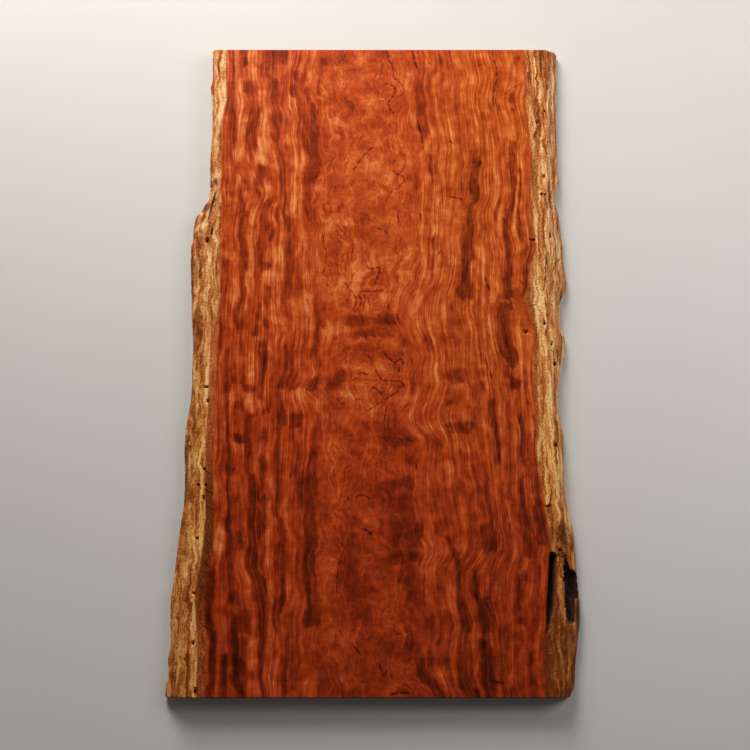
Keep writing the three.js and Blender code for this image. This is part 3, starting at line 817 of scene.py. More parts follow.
# Dark bands of the heartwood, from head to foot: [distance along, left edge, right edge, strength]
DARK_BANDS = [
    [(2441, -531, -505, 0.8), (2370, -529, -496, 0.85), (2363, -537, -513, 0.5), (2325, -537, -515, 0.4),
     (2305, -536, -518, 0)],
    [(2311, -511, -463, 0), (2303, -512, -462, 0.5), (2275, -513, -460, 0.55), (2258, -513, -463, 0.6),
     (2250, -500, -460, 0.4), (2210, -496, -459, 0.35), (2190, -489, -442, 0.5), (2137, -493, -449, 0.55),
     (2100, -498, -440, 0.65), (2072, -502, -446, 0.75), (2020, -501, -458, 0.85), (1998, -493, -468, 0.6),
     (1970, -481, -460, 0.35), (1940, -468, -452, 0.25), (1905, -458, -446, 0.45), (1870, -457, -442, 0.7),
     (1820, -448, -437, 0.7), (1795, -445, -434, 0.5), (1775, -444, -434, 0)],
    [(1953, -446, -407, 0), (1945, -450, -404, 0.65), (1896, -449, -402, 0.7), (1888, -444, -413, 0.4),
     (1865, -440, -415, 0.3), (1850, -440, -415, 0)],
    [(1815, -436, -408, 0), (1800, -435, -396, 0.5), (1740, -434, -396, 0.55), (1710, -433, -392, 0.75),
     (1670, -427, -383, 0.9), (1640, -440, -400, 0.95), (1615, -440, -398, 0.85), (1606, -431, -411, 0.55),
     (1570, -430, -408, 0.5), (1562, -428, -386, 0.85), (1548, -426, -382, 0.9), (1530, -428, -390, 0.7),
     (1522, -428, -414, 0.5), (1505, -428, -414, 0)],
    [(1480, -403, -375, 0), (1468, -405, -380, 0.65), (1402, -404, -383, 0.6), (1352, -400, -381, 0.4),
     (1336, -411, -384, 0.55), (1308, -411, -385, 0.5), (1298, -410, -388, 0)],
    [(1410, -431, -416, 0), (1400, -432, -416, 0.6), (1372, -434, -419, 0.75), (1326, -442, -430, 0.8),
     (1285, -446, -433, 0.85), (1278, -446, -434, 0)],
    [(1272, -428, -405, 0), (1255, -426, -402, 0.6), (1225, -424, -398, 0.8), (1100, -422, -400, 0.75),
     (1080, -424, -406, 0.8), (1050, -424, -408, 0.55), (1038, -424, -408, 0)],
    [(1850, -516, -503, 0), (1838, -516, -501, 0.6), (1820, -516, -500, 0.65), (1775, -518, -490, 0.6),
     (1765, -524, -481, 0.85), (1744, -524, -484, 0.9), (1736, -516, -494, 0.65), (1675, -516, -492, 0.7),
     (1668, -519, -496, 0.95), (1657, -514, -494, 0.8), (1630, -510, -488, 0.6), (1604, -507, -477, 0.75),
     (1560, -510, -477, 0.9), (1535, -510, -478, 0.9), (1520, -503, -486, 0.6), (1480, -500, -487, 0.65),
     (1462, -497, -477, 0.85), (1420, -498, -479, 0.8), (1404, -513, -479, 0.8), (1350, -516, -485, 0.9),
     (1310, -514, -485, 0.85), (1300, -500, -490, 0.9), (1270, -496, -488, 0.8), (1200, -491, -480, 0.5),
     (1185, -490, -480, 0)],
    [(1165, -490, -474, 0), (1100, -490, -470, 0.45), (1095, -480, -441, 0.7), (1074, -479, -440, 0.75),
     (1068, -479, -440, 0)],
    [(1042, -508, -478, 0), (1032, -511, -475, 0.65), (1004, -508, -475, 0.65), (996, -508, -476, 0)],
    [(992, -466, -440, 0), (982, -468, -438, 0.65), (955, -470, -448, 0.7), (912, -472, -450, 0.75),
     (905, -503, -450, 0.8), (886, -503, -448, 0.8), (878, -472, -446, 0.75), (820, -470, -446, 0.85),
     (790, -474, -446, 0.7), (765, -470, -446, 0.4), (756, -455, -430, 0.8), (732, -453, -424, 0.9),
     (690, -453, -415, 0.9), (685, -455, -389, 0.7), (668, -453, -392, 0.6), (655, -448, -430, 0.5),
     (636, -452, -410, 0.75), (601, -450, -400, 0.8), (575, -446, -385, 0.75), (549, -446, -400, 0.85),
     (520, -448, -418, 0.95), (475, -455, -412, 0.9), (436, -450, -412, 0.95), (400, -436, -388, 0.9),
     (374, -428, -381, 0.85), (340, -415, -381, 0.7), (313, -407, -382, 0.9), (226, -407, -383, 0.9),
     (165, -403, -382, 0.85), (96, -400, -381, 0.95), (52, -397, -381, 0.9), (26, -392, -374, 0.8),
     (0, -390, -370, 0.65)],
    [(1232, -555, -529, 0), (1220, -555, -529, 0.45), (1176, -549, -526, 0.5), (1150, -543, -520, 0.65),
     (1100, -545, -518, 0.8), (1090, -550, -526, 0.95), (1068, -550, -528, 0.9), (1040, -549, -533, 0.6),
     (1000, -547, -531, 0.75), (960, -544, -530, 0.5), (940, -536, -520, 0.85), (900, -538, -518, 0.95),
     (880, -547, -522, 0.65), (850, -550, -523, 0.65), (790, -549, -521, 0.65), (770, -535, -519, 0.7),
     (700, -532, -517, 0.8), (640, -529, -516, 0.8), (590, -526, -509, 0.65), (540, -524, -507, 0.85),
     (462, -521, -504, 0.9), (400, -516, -496, 0.95), (350, -512, -492, 0.95), (318, -511, -490, 0.85),
     (310, -510, -490, 0)],
    [(288, -496, -484, 0), (275, -497, -482, 0.6), (250, -502, -480, 0.85), (204, -500, -478, 0.9),
     (170, -495, -472, 0.85), (125, -495, -462, 0.85), (115, -498, -446, 0.7), (98, -490, -440, 0.55),
     (70, -498, -462, 0.6), (40, -494, -458, 0.7), (15, -470, -448, 0.75), (0, -466, -446, 0.6)],
    [(150, -533, -512, 0.3), (120, -534, -510, 0.6), (74, -533, -510, 0.85), (0, -534, -510, 0.95)],
    [(2441, -576, -552, 0.5), (2300, -577, -551, 0.55), (2200, -577, -550, 0.65), (2160, -573, -535, 0.7),
     (2100, -571, -533, 0.7), (2050, -571, -537, 0.6), (2000, -579, -555, 0.45), (1965, -575, -558, 0.3),
     (1945, -575, -558, 0)],
    [(1650, -582, -565, 0), (1636, -582, -564, 0.8), (1620, -580, -562, 0.9), (1606, -578, -562, 0.7),
     (1575, -579, -560, 1.3), (1521, -577, -558, 1.6), (1456, -575, -554, 1.8), (1391, -575, -553, 1.8),
     (1326, -578, -557, 1.5), (1239, -579, -566, 0.9), (1180, -578, -570, 0.3), (1150, -578, -570, 0)],
    [(1640, 582, 604, 0.2), (1600, 568, 602, 0.4), (1545, 552, 578, 0.5), (1480, 546, 572, 0.5),
     (1430, 530, 552, 0.4), (1410, 530, 552, 0)],
    [(700, 574, 594, 0), (660, 578, 600, 0.5), (600, 586, 606, 0.7), (540, 594, 612, 0.7),
     (500, 596, 612, 0)],
    [(1480, -556, -542, 0), (1460, -556, -542, 0.3), (1400, -556, -540, 0.4), (1330, -560, -542, 0.3),
     (1315, -560, -542, 0)],
    [(700, -574, -568, 0.2), (620, -578, -570, 0.35), (540, -582, -566, 0.5), (436, -583, -562, 0.75),
     (400, -588, -560, 0.9), (335, -594, -560, 0.95), (291, -593, -566, 0.9), (235, -588, -560, 0.8),
     (180, -579, -553, 0.8), (0, -578, -553, 0.85)],
    [(2441, -437, -344, 0.4), (2400, -437, -346, 0.45), (2376, -437, -344, 0.5), (2370, -455, -412, 0.45),
     (2330, -440, -415, 0.4), (2310, -420, -392, 0.5), (2298, -407, -379, 0.75), (2254, -406, -378, 0.85),
     (2206, -406, -382, 0.65), (2185, -400, -372, 0.45), (2165, -398, -363, 0.7), (2135, -398, -360, 0.9),
     (2100, -402, -362, 0.9), (2068, -405, -366, 0.75), (2040, -386, -362, 0.5), (1975, -372, -350, 0.45),
     (1940, -366, -342, 0.55), (1866, -361, -342, 0.55), (1810, -352, -336, 0.65), (1750, -349, -334, 0.7),
     (1740, -340, -330, 0.4), (1730, -337, -300, 0.5), (1690, -337, -298, 0.55), (1610, -337, -299, 0.7),
     (1575, -337, -298, 0.6), (1540, -336, -300, 0.7), (1500, -341, -308, 0.7), (1456, -342, -310, 0.7),
     (1418, -342, -311, 0.8), (1408, -342, -320, 0.5), (1385, -333, -302, 0.5), (1350, -331, -304, 0.45),
     (1290, -327, -306, 0.3), (1260, -330, -300, 0.3), (1225, -346, -290, 0.5), (1110, -347, -290, 0.6),
     (1084, -354, -292, 0.8), (1074, -354, -292, 0)],
    [(1062, -353, -333, 0), (1050, -353, -333, 0.4), (1005, -352, -330, 0.5), (996, -355, -318, 0.8),
     (945, -356, -316, 0.9), (934, -358, -336, 0.5), (870, -358, -337, 0.4), (840, -363, -337, 0.5),
     (720, -362, -341, 0.6), (620, -360, -340, 0.65), (600, -346, -320, 0.6), (540, -344, -320, 0.6),
     (460, -342, -322, 0.5), (380, -340, -318, 0.6), (340, -340, -316, 0.75), (304, -356, -320, 0.8),
     (268, -356, -330, 0.75), (222, -353, -334, 0.55), (208, -353, -334, 0)],
    [(1000, -306, -270, 0), (985, -308, -268, 0.6), (935, -307, -268, 0.7), (927, -296, -284, 0.5),
     (888, -294, -284, 0.6), (870, -290, -272, 0.5), (790, -290, -272, 0.5), (700, -288, -256, 0.5),
     (690, -285, -215, 0.6), (650, -280, -215, 0.55), (634, -280, -215, 0)],
    [(2278, -277, -259, 0), (2270, -277, -259, 0.9), (2242, -277, -259, 0.85), (2225, -266, -254, 0.6),
     (2200, -257, -236, 0.6), (2170, -252, -220, 0.85), (2090, -256, -220, 0.95), (2020, -257, -216, 0.85),
     (1975, -250, -208, 0.9), (1935, -258, -214, 0.85), (1880, -266, -230, 0.8), (1800, -270, -240, 0.55),
     (1725, -250, -218, 0.5), (1680, -240, -205, 0.4), (1655, -240, -205, 0)],
    [(2200, -305, -287, 0.4), (2165, -290, -262, 0.5), (2020, -286, -258, 0.5), (1998, -286, -258, 0)],
    [(2352, -316, -294, 0), (2340, -316, -294, 0.6), (2308, -314, -292, 0.55), (2298, -308, -290, 0.3),
     (2225, -305, -289, 0.4), (2165, -303, -287, 0.5), (2155, -303, -287, 0)],
    [(2345, -287, -259, 0), (2335, -287, -259, 0.5), (2304, -287, -259, 0.5), (2296, -287, -259, 0)],
    [(2292, -333, -320, 0), (2284, -333, -320, 0.6), (2248, -333, -320, 0.6), (2240, -333, -320, 0)],
    [(1420, -232, -180, 0.2), (1385, -229, -178, 0.5), (1320, -225, -180, 0.5), (1308, -222, -202, 0.75),
     (1262, -226, -206, 0.75), (1213, -242, -216, 0.65), (1190, -242, -216, 0)],
    [(1135, -215, -198, 0.4), (1110, -240, -205, 0.8), (1075, -255, -222, 0.8), (1066, -255, -222, 0)],
    [(980, -218, -196, 0.4), (915, -220, -196, 0.5), (860, -232, -206, 0.7), (805, -243, -208, 0.7),
     (770, -262, -210, 0.7), (700, -264, -212, 0.75), (640, -250, -215, 0.4), (595, -255, -207, 0.55),
     (540, -252, -203, 0.65), (470, -248, -208, 0.8), (400, -246, -210, 0.85), (330, -240, -196, 0.65),
     (290, -243, -194, 0.8), (245, -250, -196, 0.8), (232, -250, -196, 0)],
    [(2390, -222, -204, 0), (2320, -222, -209, 0.5), (2250, -222, -209, 0.5), (2240, -222, -209, 0)],
    [(846, -413, -398, 0), (836, -413, -398, 0.7), (807, -413, -398, 0.6), (767, -411, -400, 0.65),
     (716, -411, -400, 0.5), (706, -411, -400, 0)],
    [(945, -416, -398, 0), (930, -416, -398, 0.45), (890, -418, -396, 0.5), (880, -416, -398, 0)],
    [(1012, -418, -383, 0), (1004, -418, -383, 0.6), (986, -418, -383, 0.6), (978, -418, -383, 0)],
    [(300, -475, -433, 0), (290, -475, -433, 0.4), (218, -478, -432, 0.5), (210, -478, -432, 0)],
    [(2052, 514, 538, 0.7), (1990, 514, 538, 0.9), (1950, 510, 533, 0.85), (1850, 508, 531, 0.85),
     (1842, 503, 527, 0.8), (1780, 503, 526, 0.75), (1772, 494, 518, 0.7), (1738, 494, 518, 0.75),
     (1728, 486, 512, 0.6), (1690, 485, 510, 0.6), (1680, 483, 507, 0.75), (1630, 486, 512, 0.7),
     (1565, 490, 514, 0.7), (1500, 480, 510, 0.8), (1492, 473, 503, 0.9), (1456, 474, 504, 0.9),
     (1448, 477, 516, 0.75), (1421, 477, 516, 0.7), (1412, 470, 512, 0)],
    [(1408, 462, 510, 0), (1400, 462, 510, 0.65), (1370, 461, 508, 0.7), (1362, 460, 499, 0.7),
     (1320, 455, 500, 0.8), (1260, 455, 503, 0.9), (1230, 457, 515, 0.85), (1196, 466, 524, 0.95),
     (1164, 480, 518, 0.9), (1156, 468, 490, 0.55), (1120, 474, 492, 0.5), (1112, 494, 538, 0.65),
     (1074, 496, 528, 0.75), (1066, 496, 528, 0)],
    [(990, 520, 538, 0), (970, 520, 538, 0.6), (916, 522, 540, 0.6), (890, 516, 538, 0.6),
     (830, 518, 540, 0.55), (770, 526, 550, 0.4), (750, 510, 527, 0.7), (700, 508, 527, 0.8),
     (650, 508, 529, 0.8), (630, 507, 540, 0.9), (593, 507, 545, 0.95), (567, 516, 557, 0.95),
     (530, 519, 566, 1.0), (490, 522, 565, 0.95), (474, 524, 563, 0.7), (466, 524, 563, 0)],
    [(846, 574, 586, 0.3), (770, 575, 590, 0.6), (720, 574, 596, 0.55), (652, 572, 600, 0.55),
     (645, 556, 602, 0.6), (612, 556, 602, 0.65), (600, 564, 594, 0.6), (567, 570, 598, 0.7),
     (518, 576, 600, 0.7), (508, 576, 600, 0)],
    [(2045, 377, 407, 0.2), (1978, 377, 408, 0.4), (1972, 377, 412, 0.75), (1952, 377, 412, 0.7),
     (1945, 360, 399, 0.45), (1895, 358, 397, 0.5), (1888, 355, 394, 0.65), (1850, 358, 394, 0.65),
     (1825, 364, 392, 0.6), (1797, 358, 382, 0.65), (1780, 346, 372, 0.65), (1720, 342, 368, 0.7),
     (1680, 336, 368, 0.7), (1650, 330, 364, 0.75), (1620, 330, 372, 0.7), (1580, 328, 378, 0.65),
     (1568, 325, 357, 0.8), (1530, 327, 357, 0.85), (1488, 325, 357, 0.8), (1462, 312, 358, 0.7),
     (1450, 302, 360, 0.75), (1425, 308, 360, 0.75), (1413, 314, 350, 0)],
    [(1785, 540, 555, 0), (1770, 540, 555, 0.5), (1700, 540, 556, 0.6), (1668, 546, 562, 0.6),
     (1640, 552, 568, 0.5), (1628, 552, 568, 0)],
    [(1885, 538, 556, 0), (1875, 538, 556, 0.45), (1825, 538, 556, 0.4), (1815, 538, 556, 0)],
    [(1046, 416, 434, 0), (1036, 416, 434, 0.7), (980, 416, 437, 0.7), (940, 426, 448, 0.65),
     (905, 436, 454, 0.55), (880, 434, 454, 0.6), (850, 434, 455, 0.75), (805, 432, 453, 0.7),
     (794, 432, 452, 0)],
    [(2198, 188, 207, 0), (2180, 176, 207, 0.4), (2150, 160, 207, 0.65), (2120, 166, 206, 0.8),
     (2090, 172, 204, 0.75), (2066, 176, 198, 0.4), (2050, 178, 190, 0.3)],
    [(2360, 154, 214, 0.3), (2300, 154, 214, 0.4), (2200, 155, 210, 0.4), (2180, 156, 208, 0.3)],
    [(2000, 199, 225, 0), (1990, 199, 225, 0.45), (1956, 200, 225, 0.5), (1948, 202, 246, 0.5),
     (1912, 204, 247, 0.5), (1904, 204, 247, 0)],
    [(745, 384, 399, 0.4), (668, 388, 400, 0.5), (660, 399, 412, 0.4), (596, 402, 420, 0.5),
     (588, 368, 420, 0.5), (566, 368, 420, 0.55), (545, 372, 428, 0.65), (500, 376, 431, 0.65),
     (492, 376, 430, 0)],
    [(600, 208, 234, 0.3), (570, 212, 240, 0.6), (548, 222, 250, 0.5), (530, 258, 276, 0.55),
     (497, 262, 284, 0.65), (450, 274, 296, 0.65), (385, 280, 300, 0.6), (340, 278, 300, 0.55),
     (300, 278, 312, 0.4), (255, 290, 322, 0.5), (240, 295, 330, 0.65), (216, 300, 330, 0.6),
     (206, 300, 330, 0)],
    [(445, 342, 356, 0), (430, 342, 356, 0.5), (400, 338, 362, 0.6), (372, 338, 360, 0.8),
     (336, 340, 364, 0.75), (328, 351, 400, 0.65), (252, 356, 404, 0.75), (240, 360, 412, 0.8),
     (216, 362, 412, 0.8), (208, 362, 412, 0)],
    [(194, 362, 396, 0), (186, 361, 398, 0.65), (165, 360, 402, 0.7), (122, 358, 411, 0.75),
     (75, 352, 408, 0.75), (35, 360, 408, 0.75), (20, 372, 412, 0.7), (0, 378, 414, 0.6)],
    [(160, 284, 312, 0.3), (120, 284, 316, 0.5), (84, 284, 318, 0.65), (60, 284, 326, 0.85),
     (30, 292, 338, 0.9), (18, 304, 348, 0.9), (0, 314, 354, 0.85)],
    [(395, 494, 518, 0.4), (360, 496, 520, 0.6), (320, 498, 518, 0.5), (312, 498, 518, 0)],
    [(278, 499, 520, 0), (270, 499, 520, 0.65), (244, 499, 520, 0.65), (236, 499, 520, 0)],
    [(128, 146, 170, 0.4), (95, 146, 178, 0.7), (60, 158, 204, 0.9), (30, 186, 226, 0.95),
     (0, 204, 244, 0.9)],
]

# Dark patches, clouds and blocks: [x, distance along, half width, half length, turn, strength, softness]
DARK_PATCHES = [
    (-571, 1890, 9, 14, 0, 0.6, 0.5), (-533, 1925, 9, 20, 0, 0.6, 0.5), (-502, 1888, 18, 10, 0, 0.6, 0.4),
    (-570, 1834, 9, 6, 0, 0.5, 0.5), (-572, 1640, 9, 15, 0, 0.7, 0.5), (-480, 547, 10, 20, 0, 0.85, 0.4),
    (-484, 666, 14, 9, 0, 0.6, 0.5), (-423, 80, 12, 15, 0, 0.7, 0.4), (-299, 20, 12, 16, 0, 0.6, 0.5),
    (-298, 62, 26, 34, 0, 0.5, 0.5), (-304, 766, 6, 8, 0, 0.8, 0.5), (-197, 1169, 4, 11, 0, 0.8, 0.5),
    (-535, 610, 9, 9, 0, 0.5, 0.5), (-539, 708, 7, 25, 0, 0.5, 0.6), (-352, 2388, 8, 18, 0, 0.6, 0.5),
    (-200, 2386, 20, 18, -20, 0.6, 0.5), (-165, 2329, 20, 22, 0, 0.55, 0.8),
    (-120, 2393, 13, 10, 0, 0.5, 0.6), (29, 2420, 22, 25, 0, 0.6, 0.7), (2, 2389, 30, 10, 0, 0.5, 0.7),
    (-98, 2160, 24, 48, -22, 0.4, 0.9), (-125, 2090, 12, 40, 0, 0.45, 0.9), (-96, 2198, 18, 9, 0, 0.5, 0.6),
    (-12, 2107, 7, 6, 0, 0.6, 0.6), (45, 2070, 9, 5, -30, 0.6, 0.6), (-71, 2041, 10, 7, 0, 0.5, 0.6),
    (563, 2407, 12, 14, 0, 0.65, 0.6), (550, 2425, 26, 20, 0, 0.3, 0.8), (531, 2230, 11, 24, 0, 0.6, 0.5),
    (533, 2181, 9, 9, 0, 0.6, 0.5), (422, 2155, 24, 22, 0, 0.5, 0.6), (428, 2142, 15, 11, 0, 0.5, 0.6),
    (442, 2315, 8, 6, 0, 0.6, 0.6), (422, 2385, 20, 13, 0, 0.4, 0.9), (410, 2262, 14, 18, 0, 0.35, 0.8),
    (320, 2330, 16, 14, 0, 0.4, 0.8), (262, 2390, 14, 22, 10, 0.45, 0.8), (112, 2063, 22, 12, 0, 0.35, 0.9),
    (124, 2235, 7, 30, 0, 0.35, 0.7), (-100, 1901, 22, 13, 0, 0.4, 0.8), (-135, 1775, 30, 13, 57, 0.6, 0.6),
    (95, 2022, 26, 9, 0, 0.4, 0.8), (88, 1890, 22, 34, 0, 0.3, 0.7), (155, 1880, 9, 30, 0, 0.45, 0.6),
    (205, 1772, 15, 15, 0, 0.5, 0.6), (207, 1760, 18, 36, 0, 0.35, 0.7), (192, 1716, 15, 24, 0, 0.4, 0.8),
    (220, 1635, 27, 28, 0, 0.55, 0.6), (455, 1749, 8, 13, 0, 0.5, 0.7), (548, 1927, 12, 17, 0, 0.5, 0.7),
    (472, 1812, 4, 12, 0, 0.6, 0.6), (-43, 1578, 16, 30, 0, 0.45, 0.7), (15, 1538, 8, 13, 0, 0.4, 0.8),
    (153, 1585, 9, 20, -15, 0.6, 0.5), (223, 1556, 7, 30, 0, 0.4, 0.6), (-140, 1550, 19, 6, 0, 0.45, 0.7),
    (18, 1423, 10, 10, 0, 0.4, 0.8), (-60, 1334, 54, 24, 0, 1.0, 0.7), (32, 1332, 42, 24, 0, 0.85, 0.7),
    (-25, 1366, 40, 8, -10, 0.5, 0.8), (0, 1288, 72, 20, 0, 0.9, 0.7), (104, 1262, 18, 46, 30, 0.6, 0.7),
    (8, 1250, 10, 13, 0, 0.6, 0.6), (196, 1250, 22, 34, 22, 0.75, 0.6), (262, 1268, 24, 30, 0, 0.45, 0.7),
    (205, 1240, 15, 40, 0, 0.4, 0.7), (398, 1312, 7, 12, 0, 0.55, 0.6), (405, 1236, 11, 36, 0, 0.45, 0.6),
    (285, 1384, 9, 16, 0, 0.45, 0.7), (-153, 1265, 9, 14, 0, 0.5, 0.7), (-136, 1113, 22, 60, -46, 0.6, 0.7),
    (-168, 1085, 14, 24, -30, 0.4, 0.8), (82, 1090, 22, 14, 0, 0.5, 0.7), (138, 1096, 9, 32, 0, 0.45, 0.6),
    (77, 892, 72, 9, -3, 0.9, 0.5), (100, 892, 46, 12, 0, 0.6, 0.6), (62, 914, 62, 20, 0, 0.5, 0.8),
    (72, 874, 62, 12, 0, 0.6, 0.7), (-145, 868, 13, 14, 0, 0.5, 0.7), (-117, 831, 16, 20, 0, 0.5, 0.7),
    (-65, 844, 20, 16, 0, 0.5, 0.7), (132, 812, 20, 22, 0, 0.55, 0.7), (58, 723, 72, 28, 0, 0.5, 0.7),
    (114, 732, 24, 26, 0, 0.6, 0.6), (90, 660, 48, 34, 0, 0.55, 0.7), (66, 648, 17, 27, 0, 0.6, 0.7),
    (100, 597, 54, 30, 0, 0.7, 0.6), (110, 530, 62, 40, 0, 0.6, 0.6), (157, 545, 18, 56, -8, 0.8, 0.5),
    (116, 472, 62, 24, 0, 0.75, 0.6), (112, 415, 34, 36, 0, 0.65, 0.6), (92, 405, 14, 24, 0, 0.6, 0.7),
    (-88, 597, 35, 30, 0, 0.5, 0.7), (-121, 562, 11, 38, 0, 0.55, 0.6), (-70, 548, 12, 17, 0, 0.5, 0.7),
    (-24, 560, 16, 10, -20, 0.5, 0.7), (-123, 686, 13, 10, 0, 0.5, 0.7), (-100, 430, 32, 50, 0, 0.45, 0.8),
    (-20, 460, 30, 30, 0, 0.25, 0.9), (-76, 345, 35, 36, 0, 0.4, 0.8), (-66, 272, 56, 24, 5, 0.35, 0.8),
    (0, 362, 17, 11, 0, 0.45, 0.7), (132, 342, 20, 32, 0, 0.6, 0.6), (116, 386, 14, 14, 0, 0.5, 0.7),
    (118, 218, 24, 11, -20, 0.65, 0.6), (122, 188, 20, 22, -25, 0.6, 0.6), (192, 248, 18, 34, -20, 0.5, 0.6),
    (216, 185, 9, 16, -15, 0.55, 0.6), (-175, 48, 28, 46, 0, 0.5, 0.7), (-185, 20, 15, 22, 0, 0.4, 0.7),
    (316, 1125, 23, 28, 0, 0.65, 0.4), (280, 1122, 42, 28, 0, 0.45, 0.5), (380, 1088, 19, 19, 0, 0.6, 0.5),
    (272, 1028, 15, 10, 0, 0.65, 0.6), (333, 1009, 9, 7, 0, 0.55, 0.6), (360, 980, 8, 22, 0, 0.5, 0.7),
    (336, 935, 20, 25, 0, 0.95, 0.3), (288, 934, 42, 22, 0, 0.65, 0.35), (227, 874, 20, 12, 0, 0.55, 0.6),
    (553, 1031, 7, 16, 0, 0.55, 0.6), (551, 1133, 13, 22, 0, 0.5, 0.6), (298, 725, 9, 28, 0, 0.5, 0.7),
    (513, 410, 20, 17, 0, 0.6, 0.6), (580, 438, 8, 12, 0, 0.65, 0.6), (464, 206, 21, 42, 0, 0.4, 0.7),
    (451, 132, 9, 16, 0, 0.65, 0.6), (468, 15, 13, 16, 0, 0.65, 0.6), (538, 135, 9, 22, 0, 0.65, 0.6),
    (540, 50, 24, 56, 0, 0.35, 0.8), (553, 248, 15, 38, 0, 0.4, 0.7), (565, 1500, 16, 90, 8, 0.5, 0.6),
    (415, 45, 30, 8, 0, 0.6, 0.6), (212, 1562, 10, 34, 0, 0.4, 0.7), (196, 2135, 14, 40, 0, 0.4, 0.7),
    (100, 20, 34, 14, 0, 0.5, 0.8),
]

PATCH_REACH = 1.6  # a patch is looked for this far out, in its half width and length together
PATCH_FADE = 1.6  # width of its fading outline for a softness of 1, in its half sizes

